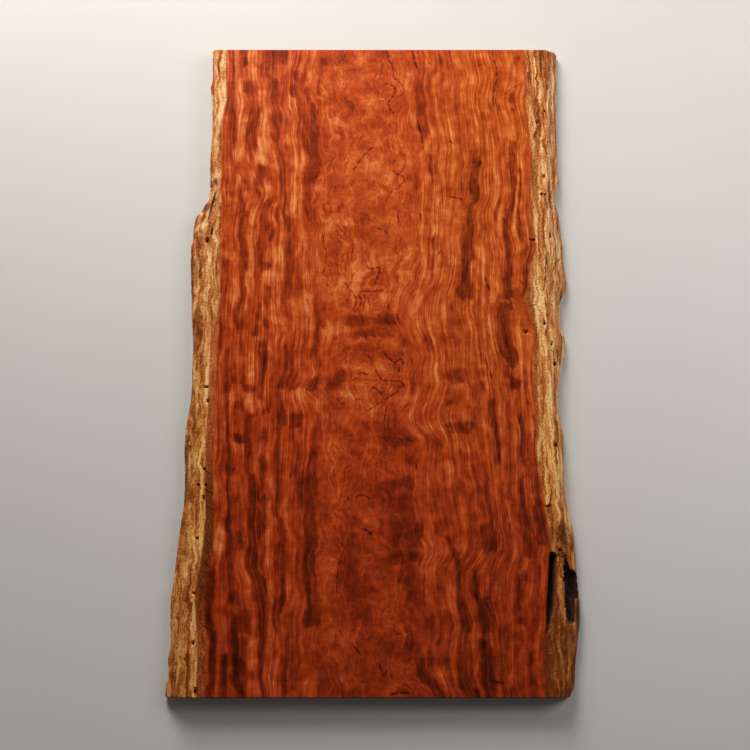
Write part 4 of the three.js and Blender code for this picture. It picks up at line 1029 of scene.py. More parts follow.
# Bright figure, as patches of the same form
BRIGHT_PATCHES = [
    (-524, 2242, 13, 70, 0, 0.8, 0.5), (-512, 2095, 15, 78, 0, 0.7, 0.5), (-486, 2340, 27, 28, 0, 0.75, 0.4),
    (-485, 2421, 17, 20, 0, 0.7, 0.5), (-447, 2253, 14, 12, 0, 0.9, 0.5), (-424, 2135, 20, 58, 0, 0.8, 0.5),
    (-431, 2042, 20, 30, 0, 0.8, 0.6), (-364, 2347, 18, 24, 0, 0.7, 0.5), (-333, 2194, 26, 48, 0, 0.75, 0.5),
    (-335, 2068, 28, 36, 0, 0.8, 0.6), (-243, 2343, 17, 94, 0, 0.4, 0.5), (-523, 2003, 21, 38, 0, 0.8, 0.5),
    (-481, 1945, 8, 56, 15, 0.7, 0.6), (-435, 1996, 20, 44, -10, 0.75, 0.6),
    (-296, 1977, 40, 37, 0, 0.7, 0.6), (-309, 1846, 11, 94, 0, 0.75, 0.6), (-491, 1836, 11, 18, 0, 0.8, 0.5),
    (-421, 1860, 21, 20, 0, 0.7, 0.4), (-379, 1790, 7, 8, 30, 0.9, 0.6), (-465, 1736, 10, 26, 0, 0.7, 0.6),
    (-387, 1738, 11, 20, 0, 0.7, 0.6), (-364, 1588, 22, 33, 0, 0.85, 0.5), (-547, 1588, 27, 16, 0, 0.8, 0.5),
    (-526, 1452, 11, 48, 0, 0.7, 0.6), (-465, 1520, 11, 108, 0, 0.7, 0.6), (-391, 1500, 11, 27, 0, 0.7, 0.6),
    (-285, 1382, 35, 31, 0, 0.75, 0.4), (-358, 1339, 25, 13, 0, 0.65, 0.5), (-466, 1271, 55, 9, 0, 0.5, 0.6),
    (-446, 1144, 22, 67, 0, 0.7, 0.5), (-446, 1029, 22, 39, 0, 0.6, 0.5), (-510, 1065, 16, 29, 0, 0.65, 0.6),
    (-566, 944, 11, 154, 0, 0.65, 0.5), (-274, 1046, 24, 30, 0, 0.7, 0.6), (-495, 865, 18, 15, 0, 0.7, 0.5),
    (-564, 740, 10, 70, 0, 0.6, 0.6), (-497, 734, 21, 32, 0, 0.5, 0.6), (-425, 782, 14, 28, 0, 0.7, 0.5),
    (-380, 720, 17, 32, 0, 0.65, 0.6), (-375, 636, 15, 35, 0, 0.6, 0.6), (-368, 520, 17, 80, 0, 0.55, 0.6),
    (-318, 625, 24, 24, 0, 0.6, 0.6), (-543, 533, 16, 66, 0, 0.7, 0.6), (-457, 564, 11, 37, 0, 0.6, 0.6),
    (-470, 460, 18, 40, 0, 0.6, 0.6), (-450, 390, 16, 44, 14, 0.65, 0.6), (-368, 352, 13, 48, 0, 0.6, 0.6),
    (-364, 208, 13, 70, 0, 0.6, 0.5), (-429, 154, 17, 50, 0, 0.6, 0.6), (-538, 326, 26, 17, 0, 0.6, 0.5),
    (-522, 178, 11, 26, 0, 0.65, 0.5), (-350, 62, 28, 60, 0, 0.55, 0.5), (-420, 37, 26, 28, 0, 0.6, 0.5),
    (-229, 30, 17, 27, 0, 0.55, 0.5), (-294, 345, 22, 33, 0, 0.5, 0.7), (-141, 2143, 10, 12, 0, 0.95, 0.5),
    (-138, 2293, 20, 17, 0, 0.7, 0.6), (-195, 2200, 10, 60, 0, 0.4, 0.7), (-45, 2390, 16, 26, 0, 0.5, 0.7),
    (95, 2380, 15, 60, 0, 0.5, 0.6), (120, 2330, 20, 80, 0, 0.35, 0.7), (135, 2200, 9, 90, 6, 0.5, 0.7),
    (-10, 1960, 40, 50, 0, 0.5, 0.8), (40, 2060, 60, 26, 0, 0.35, 0.8), (-110, 1722, 40, 14, 0, 0.6, 0.7),
    (-165, 1730, 8, 24, 0, 0.5, 0.7), (172, 1980, 6, 90, 0, 0.5, 0.7), (258, 1790, 26, 32, 0, 0.5, 0.5),
    (235, 1686, 20, 22, 0, 0.5, 0.6), (-15, 1462, 40, 7, 0, 0.85, 0.6), (-40, 1500, 22, 22, 0, 0.45, 0.7),
    (-140, 1450, 25, 50, 0, 0.45, 0.7), (150, 1460, 12, 60, 14, 0.6, 0.6), (122, 1400, 12, 60, 0, 0.5, 0.7),
    (185, 1560, 10, 70, 0, 0.5, 0.7), (-55, 1256, 24, 10, 0, 0.8, 0.6), (-175, 1330, 12, 50, 32, 0.4, 0.7),
    (30, 1165, 40, 26, 0, 0.6, 0.7), (-80, 1170, 40, 26, 0, 0.5, 0.8), (60, 1080, 20, 16, 0, 0.3, 0.8),
    (-90, 1050, 50, 26, 0, 0.4, 0.8), (10, 985, 24, 40, 0, 0.4, 0.8), (-205, 1024, 9, 28, -35, 0.7, 0.6),
    (200, 935, 26, 18, 0, 0.6, 0.6), (60, 812, 30, 14, 0, 0.45, 0.8), (-140, 650, 16, 40, 0, 0.4, 0.7),
    (-20, 605, 30, 20, -20, 0.45, 0.8), (-110, 508, 8, 14, 0, 0.6, 0.7), (-160, 420, 22, 60, 0, 0.4, 0.7),
    (-47, 233, 12, 7, 0, 0.85, 0.6), (20, 290, 30, 40, 0, 0.4, 0.8), (-110, 170, 30, 50, -20, 0.4, 0.8),
    (185, 420, 28, 120, 0, 0.3, 0.8), (255, 250, 22, 140, 0, 0.4, 0.7), (235, 60, 26, 50, 10, 0.55, 0.6),
    (330, 150, 12, 70, 0, 0.45, 0.6), (268, 312, 10, 10, 0, 0.6, 0.6), (385, 2310, 12, 28, 0, 0.6, 0.6),
    (240, 2312, 18, 18, 0, 0.5, 0.7), (552, 2350, 18, 28, 0, 0.5, 0.6), (475, 2228, 8, 20, 0, 0.6, 0.6),
    (440, 2240, 7, 30, 0, 0.5, 0.7), (290, 2120, 16, 40, 0, 0.35, 0.8), (455, 1985, 12, 50, 0, 0.35, 0.8),
    (565, 2000, 14, 90, 0, 0.4, 0.7), (290, 1650, 16, 60, 0, 0.4, 0.8), (467, 1620, 4, 34, 0, 0.6, 0.6),
    (458, 1520, 5, 70, -6, 0.55, 0.6), (402, 1600, 14, 26, 0, 0.5, 0.7), (490, 1414, 50, 4, 4, 0.6, 0.6),
    (292, 1500, 5, 130, -2, 0.45, 0.6), (255, 1370, 26, 40, 0, 0.5, 0.7), (230, 1330, 14, 40, 0, 0.35, 0.8),
    (530, 1500, 14, 40, 0, 0.4, 0.7), (530, 1270, 16, 40, 0, 0.4, 0.7), (430, 1290, 14, 80, 0, 0.3, 0.8),
    (215, 1140, 16, 20, 0, 0.5, 0.7), (410, 1140, 7, 50, -12, 0.4, 0.7), (508, 1040, 12, 30, 0, 0.4, 0.7),
    (565, 985, 5, 60, 0, 0.5, 0.6), (405, 930, 6, 40, -14, 0.55, 0.6), (300, 860, 40, 20, 0, 0.4, 0.8),
    (270, 780, 20, 30, 0, 0.35, 0.8), (210, 770, 16, 30, 0, 0.4, 0.8), (515, 780, 10, 30, 0, 0.5, 0.6),
    (370, 620, 8, 24, 0, 0.5, 0.7), (318, 645, 14, 10, 0, 0.4, 0.7), (570, 560, 5, 60, 14, 0.5, 0.6),
    (577, 480, 10, 34, 0, 0.5, 0.7), (375, 455, 14, 40, 10, 0.4, 0.7), (525, 430, 14, 14, 0, 0.4, 0.7),
    (480, 360, 6, 30, 0, 0.5, 0.7), (440, 330, 20, 60, 0, 0.35, 0.8), (560, 200, 12, 40, -20, 0.6, 0.6),
    (425, 22, 12, 24, 0, 0.55, 0.6), (465, 60, 10, 20, 0, 0.4, 0.7), (430, 90, 10, 30, 0, 0.4, 0.7),
    (340, 60, 8, 50, -20, 0.5, 0.6),
]

# Grain lines that the fine figure runs along: where each lies on average, then (distance along, x)
GRAIN_LINES = [
    (-495, [(2440, -512), (2370, -512), (2300, -503), (2190, -492), (2140, -495), (2060, -503), (2000, -490),
            (1940, -466), (1900, -458), (1840, -452), (1745, -481), (1657, -494), (1600, -479), (1550, -477),
            (1500, -487), (1450, -478), (1350, -485), (1240, -489), (1100, -490), (960, -470), (800, -470),
            (740, -455), (620, -450), (500, -448), (440, -452), (405, -440), (370, -425), (310, -408),
            (226, -407), (150, -403), (0, -390)]),
    (-350, [(2440, -376), (2370, -372), (2254, -378), (2200, -382), (2165, -363), (2100, -361), (2040, -362),
            (1975, -350), (1930, -342), (1866, -341), (1750, -333), (1690, -337), (1570, -337), (1500, -341),
            (1400, -338), (1340, -331), (1290, -328), (1225, -340), (1110, -347), (1030, -353), (870, -358),
            (740, -362), (610, -358), (500, -344), (360, -341), (290, -353), (200, -353), (0, -350)]),
    (-235, [(2440, -228), (2270, -262), (2200, -246), (2165, -236), (2090, -238), (2030, -237), (1980, -229),
            (1940, -236), (1885, -248), (1800, -255), (1725, -245), (1610, -232), (1500, -236), (1400, -230),
            (1300, -213), (1213, -229), (1135, -215), (1075, -250), (1010, -222), (915, -208), (805, -226),
            (700, -238), (560, -230), (400, -228), (290, -219), (200, -228), (0, -232)]),
    (160, [(2440, 146), (2389, 155), (2350, 160), (2300, 157), (2160, 158), (2110, 168), (2050, 180),
           (1950, 182), (1800, 172), (1650, 176), (1600, 183), (1500, 165), (1450, 140), (1400, 120),
           (1350, 112), (1300, 125), (1250, 150), (1200, 158), (1150, 142), (1090, 147), (1030, 125),
           (1000, 106), (960, 103), (930, 115), (895, 150), (860, 160), (753, 138), (640, 136), (580, 160),
           (510, 177), (480, 176), (440, 152), (380, 150), (290, 165), (240, 185), (150, 160), (95, 165),
           (30, 200), (0, 212)]),
    (355, [(2440, 366), (2400, 374), (2320, 386), (2260, 372), (2200, 372), (2130, 386), (2040, 390),
           (1960, 394), (1930, 380), (1835, 378), (1760, 356), (1650, 347), (1600, 350), (1500, 343),
           (1435, 334), (1300, 352), (1150, 358), (1080, 372), (980, 360), (900, 366), (745, 390),
           (610, 410), (500, 402), (420, 350), (340, 352), (250, 380), (120, 384), (60, 382), (0, 396)]),
    (485, [(2441, 460), (2402, 465), (2350, 479), (2320, 477), (2280, 468), (2224, 457), (2190, 464),
           (2060, 486), (1950, 482), (1860, 482), (1815, 476), (1750, 466), (1700, 461), (1600, 470),
           (1530, 464), (1480, 462), (1440, 466), (1360, 452), (1290, 450), (1240, 454), (1195, 466),
           (1130, 474), (1050, 480), (950, 490), (850, 488), (720, 480), (650, 482), (580, 492), (540, 502),
           (480, 506), (400, 480), (300, 484), (150, 480), (0, 478)]),
]

# Thin near-black lines, as chains of (x, distance along, half width)
VEINS = [
    [(46, 2441, 3), (55, 2398, 3), (68, 2374, 4), (72, 2341, 3), (70, 2315, 3), (90, 2309, 3),
     (101, 2289, 3), (113, 2280, 3), (113, 2263, 3), (109, 2246, 3), (90, 2237, 2)],
    [(30, 2288, 3), (57, 2293, 4.5), (73, 2280, 4), (81, 2263, 4), (75, 2246, 4), (60, 2228, 3.5),
     (51, 2211, 3), (57, 2193, 3), (63, 2172, 4), (75, 2169, 3)],
    [(36, 2385, 2.5), (27, 2359, 2.5), (20, 2324, 2.5)],
    [(12, 2354, 2), (-1, 2312, 2)],
    [(-106, 2441, 2.5), (-123, 2402, 3), (-145, 2380, 2.5), (-154, 2363, 2)],
    [(-32, 2189, 2), (-14, 2201, 3), (-3, 2176, 2.5)],
    [(-156, 2178, 3), (-156, 2150, 3)],
    [(460, 2441, 3), (465, 2402, 3), (473, 2372, 4), (479, 2350, 5.5), (477, 2320, 4), (468, 2280, 3),
     (462, 2250, 3.5), (457, 2224, 3.5), (464, 2190, 2.5)],
    [(500, 2248, 3), (516, 2256, 3.5), (533, 2274, 3), (565, 2290, 2)],
    [(147, 2436, 4), (155, 2389, 6), (168, 2352, 5)],
    [(181, 2441, 2), (203, 2398, 2.5), (220, 2367, 2)],
    [(162, 2150, 3), (177, 2080, 4), (183, 2033, 4.5), (183, 2012, 3)],
    [(-4, 2030, 2.5), (-27, 2010, 3), (-53, 1979, 3.5), (-71, 1949, 5), (-84, 1931, 5)],
    [(68, 1931, 3.5), (81, 1914, 4), (96, 1909, 4), (112, 1901, 3), (110, 1879, 4), (99, 1873, 3),
     (90, 1857, 3), (64, 1853, 3), (60, 1831, 2.5)],
    [(77, 1974, 3), (68, 1962, 3)],
    [(-56, 1733, 2.5), (-32, 1733, 2.5), (-6, 1728, 2.5), (3, 1740, 2)],
    [(7, 1697, 2.5), (33, 1692, 3), (51, 1670, 3)],
    [(171, 1762, 3.5), (172, 1727, 3.5)],
    [(88, 1762, 2.5), (88, 1710, 2.5)],
    [(-145, 1690, 2.5), (-134, 1668, 2.5), (-112, 1650, 3), (-106, 1664, 3), (-116, 1682, 2.5),
     (-134, 1690, 2)],
    [(-212, 1752, 2.5), (-201, 1692, 2.5), (-190, 1621, 2.5), (-182, 1604, 2.5), (-184, 1573, 2.5),
     (-190, 1547, 2.5), (-190, 1517, 2.5), (-175, 1493, 2)],
    [(-85, 1640, 2.5), (-86, 1552, 2.5)],
    [(-186, 1482, 2.5), (-173, 1465, 3)],
    [(-32, 1547, 3), (-19, 1534, 4), (-1, 1537, 4), (16, 1543, 4), (20, 1528, 4), (12, 1513, 4),
     (3, 1487, 3), (-1, 1469, 3)],
    [(255, 1880, 2.5), (258, 1750, 2.5)],
    [(283, 2050, 4), (303, 2042, 4)],
    [(281, 1822, 4), (315, 1816, 4.5), (333, 1812, 3)],
    [(331, 1927, 2), (331, 1823, 2.5)],
    [(233, 1587, 3.5), (251, 1614, 3)],
    [(533, 1500, 3), (553, 1473, 2.5)],
    [(407, 1517, 3), (416, 1480, 5), (427, 1447, 5)],
    [(-112, 1482, 2.5), (-95, 1462, 3), (-80, 1439, 3), (-66, 1413, 3), (-75, 1387, 3), (-86, 1369, 2.5)],
    [(-66, 1440, 2.5), (-48, 1413, 2.5), (-58, 1387, 2.5), (-80, 1365, 2)],
    [(-40, 1443, 2.5), (-36, 1413, 2.5), (-45, 1382, 2.5)],
    [(-23, 1434, 2), (-23, 1387, 2)],
    [(-50, 1452, 2.5), (-12, 1447, 2.5), (35, 1455, 2.5), (45, 1463, 2)],
    [(49, 1400, 4), (50, 1372, 3)],
    [(79, 1369, 2.5), (94, 1308, 3)],
    [(33, 1217, 4), (47, 1194, 4), (68, 1177, 4.5), (79, 1179, 4), (94, 1190, 5), (103, 1181, 5),
     (101, 1168, 4)],
    [(88, 1157, 4), (88, 1138, 5)],
    [(-25, 1205, 3), (-19, 1190, 3.5)],
    [(-106, 1184, 3), (-106, 1172, 3)],
    [(-60, 1131, 3), (-49, 1137, 4.5), (-25, 1131, 4)],
    [(-82, 1108, 3), (-58, 1120, 3.5)],
    [(1, 1150, 3), (7, 1133, 3), (16, 1122, 4), (27, 1109, 4), (51, 1106, 4), (90, 1105, 3.5),
     (103, 1094, 5), (105, 1083, 6)],
    [(-10, 1077, 4), (-6, 1085, 4), (16, 1068, 3.5), (27, 1050, 3.5)],
    [(-34, 993, 2.5), (-1, 1013, 3.5), (33, 1035, 3.5), (51, 1048, 4), (73, 1059, 4), (92, 1074, 3)],
    [(44, 1016, 3), (38, 985, 3), (29, 946, 3)],
    [(-70, 1042, 2), (-50, 1037, 2)],
    [(-143, 1046, 2.5), (-127, 1024, 2.5), (-106, 1016, 2.5)],
    [(125, 1029, 2.5), (103, 1003, 2.5)],
    [(-69, 680, 3), (-58, 690, 4), (-36, 688, 4.5), (-14, 675, 3.5)],
    [(-95, 688, 4), (-95, 671, 4)],
    [(-49, 573, 3.5), (-23, 562, 5), (-10, 549, 5)],
    [(-136, 549, 2.5), (-127, 527, 2.5), (-106, 510, 2.5), (-108, 497, 2.5), (-123, 467, 2.5),
     (-130, 440, 2.5), (-134, 393, 2.5), (-134, 335, 2.5)],
    [(-80, 178, 3), (-45, 139, 3)],
    [(-127, 230, 2.5), (-115, 204, 2.5)],
    [(16, 117, 2.5), (25, 78, 2.5), (33, 72, 2.5), (44, 95, 2.5)],
    [(47, 10, 4), (80, 18, 5), (116, 14, 4)],
    [(90, 52, 2.5), (129, 26, 2.5)],
    [(68, 211, 3), (95, 215, 4)],
    [(147, 801, 3.5), (147, 784, 3.5)],
    [(-150, 784, 2.5), (-143, 758, 2.5)],
    [(403, 1194, 3), (415, 1150, 3.5), (429, 1111, 3.5)],
    [(575, 985, 3.5), (578, 935, 4.5), (576, 881, 4)],
    [(582, 850, 3), (583, 790, 3)],
    [(466, 653, 3), (475, 600, 4), (476, 560, 3)],
    [(420, 475, 3), (407, 420, 3)],
    [(-265, 2240, 3.5), (-258, 2212, 3)],
    [(-513, 775, 2), (-498, 788, 2)],
    [(390, 57, 3), (450, 50, 3.5)],
]

# Colour ramps, as (tone, colour)
HEART_TONES = [
    (0.0, (0.030, 0.004, 0.0012)),
    (0.20, (0.11, 0.011, 0.0022)),
    (0.40, (0.23, 0.022, 0.0040)),
    (0.55, (0.37, 0.039, 0.0066)),
    (0.70, (0.51, 0.070, 0.013)),
    (0.85, (0.64, 0.157, 0.042)),
    (1.0, (0.77, 0.26, 0.095)),
]
GOLDEN_TONES = [
    (0.0, (0.030, 0.005, 0.0015)),
    (0.20, (0.10, 0.014, 0.0024)),
    (0.40, (0.21, 0.029, 0.0042)),
    (0.55, (0.34, 0.051, 0.0070)),
    (0.70, (0.47, 0.087, 0.0125)),
    (0.85, (0.60, 0.150, 0.026)),
    (1.0, (0.74, 0.27, 0.070)),
]
SAP_TONES = [
    (0.0, (0.15, 0.036, 0.009)),
    (0.20, (0.29, 0.074, 0.017)),
    (0.40, (0.42, 0.130, 0.033)),
    (0.60, (0.56, 0.225, 0.072)),
    (0.80, (0.70, 0.375, 0.165)),
    (1.0, (0.86, 0.61, 0.36)),
]
SAP_GOLD = [
    (0.0, (0.15, 0.034, 0.006)),
    (0.20, (0.29, 0.070, 0.012)),
    (0.40, (0.42, 0.120, 0.022)),
    (0.60, (0.56, 0.200, 0.042)),
    (0.80, (0.70, 0.320, 0.078)),
    (1.0, (0.84, 0.51, 0.19)),
]
# Hollows: brown of bark and torn wood, darkened to near black by painted shade as they deepen
HOLLOW_WOOD_AND_SHADE_TONES = [
    (0.25, (0.20, 0.070, 0.022)),
    (0.6, (0.075, 0.028, 0.011)),
    (1.0, (0.018, 0.011, 0.007)),
]
EDGE_TONES = [
    (0.0, (0.088, 0.013, 0.003)),
    (0.35, (0.19, 0.034, 0.007)),
    (0.65, (0.37, 0.072, 0.012)),
    (1.0, (0.58, 0.19, 0.055)),
]
STAIN_RUST = (0.30, 0.090, 0.022)
STAIN_BROWN = (0.050, 0.015, 0.005)
CHECK_BROWN = (0.045, 0.012, 0.005)
# Painted shade inside the borer holes and small pits
HOLE_SHADE_BLACK = (0.018, 0.008, 0.005)

# Reach of the cones that draw thin lines and round spots, in the line's widths, its runs and the spot's size
LINE_REACH = 1.5
RUN_REACH = 0.62
SPOT_REACH = 0.55
NO_SIZE = 1e-3

# Courses of the grain lines: place and width of the swirling middle, and how far each noise bends them
SWIRL_PLACE = -40
SWIRL_ENDS = (110, 260)
SWIRL_BEND = 150
WAVER_BEND = 7
GRAIN_TILT = 0.35
SLOPE_BEND = 16
WANDER_BEND = 46
END_GRAIN_ENDS = (1.6, 0.4)  # distances from the sawn ends where their darker tone starts and is whole

# Colour of the heartwood: its plain tone, and each noise's weight at the middle of the slab and at its sides
HEART_TONE = 0.655
BROAD_LINES = (0.35, 0.60)
FINE_LINES = (0.25, 0.55)
BLOCKS = (0.15, 0.55)
CLOUDS = (0.84, 0.34)
CRUMBLE = (0.45, 0.05)
THIN_FIBRES = 0.30
SHORT_FIBRES = 0.26
RIPPLE = 0.16
PALE_HAIRS = 0.035
RING_EDGES = 0.07

# How much darker or lighter the laid-down figure, the ends and the foot make it
BAND_DEPTH = 0.30
BAND_DEPTH_MORE_RIGHT = 0.10
PATCH_DEPTH = 0.28
BRIGHT_RISE = 0.20
HAIR_DEPTH = 0.13
VEIN_DEPTH = 0.34
END_DEPTH = 0.15
SAP_END_DEPTH = 0.12
FOOT_DEPTH = 0.14
FOOT_DEPTH_MORE_RIGHT = 0.05

# The sapwood's noises, with their weights in its lightness, stains, brown strip and relief
SAP_LIVELY = {"ribbons": 2.4, "streaks": 1.1, "mottle": 0.9, "crumbs": 1.1, "ticks": 0.7}
STAIN_BLOTCHES = {"ribbons": 1.0, "mottle": 0.9, "streaks": 0.8, "crumbs": 0.8}
STAIN_EDGES = {"mottle": 3.0, "crumbs": 3.0, "streaks": 2.4}
BROWN_OUTLINE = {"crumbs": 1.2, "streaks": 1.6, "mottle": 1.8}
BROWN_TONE = {"streaks": 1.5, "crumbs": 1.3, "mottle": 1.0, "ticks": 0.5}
BROWN_COVER = {"ribbons": 0.6, "streaks": 0.6}
HOLLOW_MOTTLE = {"crumbs": 0.5, "mottle": 0.9}
SAP_RIDGES = {"ribbons": 2.4, "mottle": 2.4, "crumbs": 0.8}


def thin_lines(sheet, place, chains):
    """1 on the thin lines and 0 off them: the greatest of the long cones over each chain's pieces."""
    most = sheet.cone(place, 0, 0, NO_SIZE, NO_SIZE)
    for chain in chains:
        for (x0, t0, w0), (x1, t1, w1) in zip(chain, chain[1:]):
            width, run = (w0 + w1) / 2, math.hypot(x1 - x0, t1 - t0)
            middle = ((x0 + x1) / 2, (t0 + t1) / 2)
            turn = math.atan2(x0 - x1, t1 - t0)
            most = most.most(sheet.cone(place, *middle, width * LINE_REACH, run * RUN_REACH + width, turn))
    return most


def round_spots(sheet, place, spots):
    """1 in the middle of the spots and 0 off them: the greatest of their cones."""
    most = sheet.cone(place, 0, 0, NO_SIZE, NO_SIZE)
    for x, t, width, length in spots:
        most = most.most(sheet.cone(place, x, t, width * SPOT_REACH, length * SPOT_REACH))
    return most


class Wood:
    """Places in millimetres, fields and noises that heartwood, sapwood and relief share."""

    def __init__(self, sheet, length, thickness):
        self.sheet = sheet
        metres = sheet.node("ShaderNodeTexCoord")["Object"]
        parts = sheet.node("ShaderNodeSeparateXYZ", None, {"Vector": metres})
        self.x, self.z = parts["X"] * (1 / MM), parts["Z"] * (1 / MM)
        self.t = parts["Y"] * (1 / MM) + length / 2
        self.under = thickness - self.z
        self.slope = sheet.field("slope")
        self.end_grain = (self.t - length / 2).size().step(*(length / 2 - end for end in END_GRAIN_ENDS))

        # The grain lines swirl in the middle of the slab, and run more plainly at its sides
        solid = (self.x, self.t, self.under)
        self.middle = sheet.cells(solid, (75, 100, 90), 7)
        self.swirl = sheet.cells(solid, (95, 120, 110), 3)
        self.ragged = sheet.cells((self.x, self.t, 0), (30, 40, 1), 9)
        line = sheet.field("grain")
        self.sides = (line - SWIRL_PLACE).size().step(*SWIRL_ENDS)
        self.in_middle = 1 - self.sides
        bend = self.middle * WAVER_BEND + self.swirl * (self.in_middle * SWIRL_BEND)
        self.grain = line + bend + self.under * GRAIN_TILT
        self.fine_lines = sheet.cells((self.grain, self.t, 0), (5.5, 330, 1), 5.1, 1.0, 0.6)
        self.golden = sheet.cells((self.grain, self.t, 0), (6.5, 300, 1), 14, 2.0, 0.7)

        # Noises of the sapwood, of which most run along lines that wander out over the live edge
        wander = sheet.cells((self.x, self.t, self.z), (60, 75, 60), 5, 3.0, 0.6)
        out = (self.x + self.slope * SLOPE_BEND + wander * WANDER_BEND, self.t, self.z)
        self.noises = {
            "ribbons": sheet.cells(out, (12, 170, 40)),
            "streaks": sheet.cells(out, (5, 60, 20), 0, 3.0, 0.65),
            "mottle": sheet.cells(out, (22, 42, 30), 0, 3.0, 0.6),
            "crumbs": sheet.cells((self.x, self.t, self.z), (4.5, 6, 6), 0, 3.0, 0.7),
            "ticks": sheet.cells(out, (9, 3.4, 16), 0, 1.0),
        }
        crumbs, ticks = self.noises["crumbs"], self.noises["ticks"]
        self.past_edge = sheet.field("beyond_heart") + crumbs * 6 + self.middle * 5 + ticks * 4

    def blend(self, weights):
        """The sapwood's noises times their weights, added up."""
        first, *rest = [self.noises[name] * weight for name, weight in weights.items()]
        return sum(rest, first)

    def weighed(self, noise, weights):
        """A noise times its weight in the middle of the slab, which changes to that at the sides."""
        in_middle, at_sides = weights
        return noise * (self.sides * (at_sides - in_middle) + in_middle)


def heart_lines(wood):
    """Growth lines, pale hairs and fibres of the heartwood, fainter towards the foot end."""
    sheet, grain, t = wood.sheet, wood.grain, wood.t
    broad_lines = sheet.cells((grain, t, 0), (14, 420, 1), 1.7, 1.0, 0.6)
    thin_fibres = sheet.cells((grain, t, 0), (2.4, 190, 1), 9.3, 1.0, 0.6)
    short_fibres = sheet.cells((grain, t, wood.under), (2.2, 40, 12), 0, 2.0, 0.6)
    pale_hairs = 1 - wood.fine_lines.size().step(0.0, 0.03)
    ring_edges = 1 - broad_lines.size().step(0.0, 0.035)
    fine = wood.weighed(wood.fine_lines, FINE_LINES) + thin_fibres * THIN_FIBRES
    fine = fine + pale_hairs * PALE_HAIRS - ring_edges * RING_EDGES
    crisp = t.step(0, 1300) * 0.5 + 0.5
    return wood.weighed(broad_lines, BROAD_LINES) + fine * crisp + short_fibres * SHORT_FIBRES


def heart_clouds(wood, crumble):
    """Blocks across the grain that catch the light, broad clouds and a ripple across the grain."""
    sheet, x, t, under = wood.sheet, wood.x, wood.t, wood.under
    block = sheet.cells((wood.grain, t + wood.ragged * 24, under), (20, 48, 70), 0, 1.0)
    cloud = sheet.cells((x, t, under), (120, 90, 90), 20, 3.0, 0.6)
    ripple = sheet.cells((x, t, under), (40, 11, 30))
    clouds = wood.weighed(cloud, CLOUDS) + wood.weighed(block, BLOCKS) + wood.weighed(crumble, CRUMBLE)
    return clouds + ripple * RIPPLE


def laid_figure(wood, crumble):
    """How far the laid-down bands, patches and veins shift the heartwood's tone, and its bright patches."""
    sheet, x, t = wood.sheet, wood.x, wood.t
    torn = wood.ragged * 1.8 + crumble * 1.6 + wood.fine_lines * (wood.sides * 1.2)
    bands = (sheet.field("dark_bands") * 1.25).least(0.80)
    bands = bands * (1 + wood.fine_lines * 0.5 + wood.ragged * 0.4)
    band_depth = x.step(150, 450) * t.step(300, 1200) * BAND_DEPTH_MORE_RIGHT + BAND_DEPTH
    patches = (sheet.field("dark_patches") * (1 + torn)).step(0.05, 0.95)
    bright = sheet.field("bright_patches") * (1 + torn * 0.6)

    curls = (x + wood.swirl * 60, t - wood.swirl * 80, wood.under)
    hairs = 1 - sheet.cells(curls, (46, 34, 30), 8).size().step(0.0, 0.018)
    hairs = hairs * wood.middle.step(0.02, 0.12) * wood.in_middle
    bent = sheet.point(x + wood.ragged * 7 + wood.middle * 5, t + wood.middle * 10)
    veins = thin_lines(sheet, bent, VEINS).step(0.10, 0.75)
    dark = (bands * band_depth).most(patches * PATCH_DEPTH) + hairs * HAIR_DEPTH + veins * VEIN_DEPTH
    return bright * BRIGHT_RISE - dark, bright


def heartwood(wood):
    """Red-brown figured heartwood, more golden towards the right and the head, and darker at the foot."""
    sheet, x, t = wood.sheet, wood.x, wood.t
    crumble = sheet.cells((x, t, wood.under), (20, 26, 20), 4, 4.0, 0.65)
    figure, bright = laid_figure(wood, crumble)
    foot_shade = (1 - t.step(200, 1700)) * FOOT_DEPTH
    foot_shade = foot_shade + (1 - t.step(100, 800)) * x.step(-350, 50) * FOOT_DEPTH_MORE_RIGHT
    tone = HEART_TONE + heart_lines(wood) + heart_clouds(wood, crumble) + figure
    tone = tone - foot_shade - wood.end_grain * END_DEPTH
    golden = wood.golden * 2.4 + x.step(60, 330) * 0.45 + t.step(200, 1700) * 0.68 + bright * 0.25 - 0.46
    return sheet.mix(golden.most(0).least(1), sheet.ramp(tone, HEART_TONES), sheet.ramp(tone, GOLDEN_TONES))


def sapwood(wood):
    """Ribbons from cream to rust on the laid-down lightness, painted light on the right live edge and painted
    shade on the left one, stains, and the brown strip at the heartwood.
    """
    sheet, t = wood.sheet, wood.t
    # Painted light and shade: down the live edges and on the underside, the right side is made lighter and
    # the left side darker
    painted_edge_light = wood.slope * (wood.x.step(-100, 100) * 0.27 - 0.07)
    tone = sheet.field("sap_light") + wood.blend(SAP_LIVELY) + painted_edge_light - wood.end_grain * SAP_END_DEPTH
    gold_share = (wood.golden * 3 + (1 - t.step(500, 2100)) * 0.9 + 0.1).most(0).least(1)
    colour = sheet.mix(gold_share, sheet.ramp(tone, SAP_TONES), sheet.ramp(tone, SAP_GOLD))
    stains = sheet.field("stain") * (1 + wood.blend(STAIN_EDGES)) + wood.blend(STAIN_BLOTCHES)
    stains = stains.step(0.25, 0.9)
    colour = sheet.mix(stains * 0.9, colour, sheet.mix(stains, STAIN_RUST, STAIN_BROWN))
    strip = (sheet.field("edge_brown") + wood.blend(BROWN_OUTLINE)).step(0.15, 0.95)
    strip_tone = sheet.field("brown_light") + wood.blend(BROWN_TONE)
    return sheet.mix(strip * (0.93 + wood.blend(BROWN_COVER)), colour, sheet.ramp(strip_tone, EDGE_TONES))


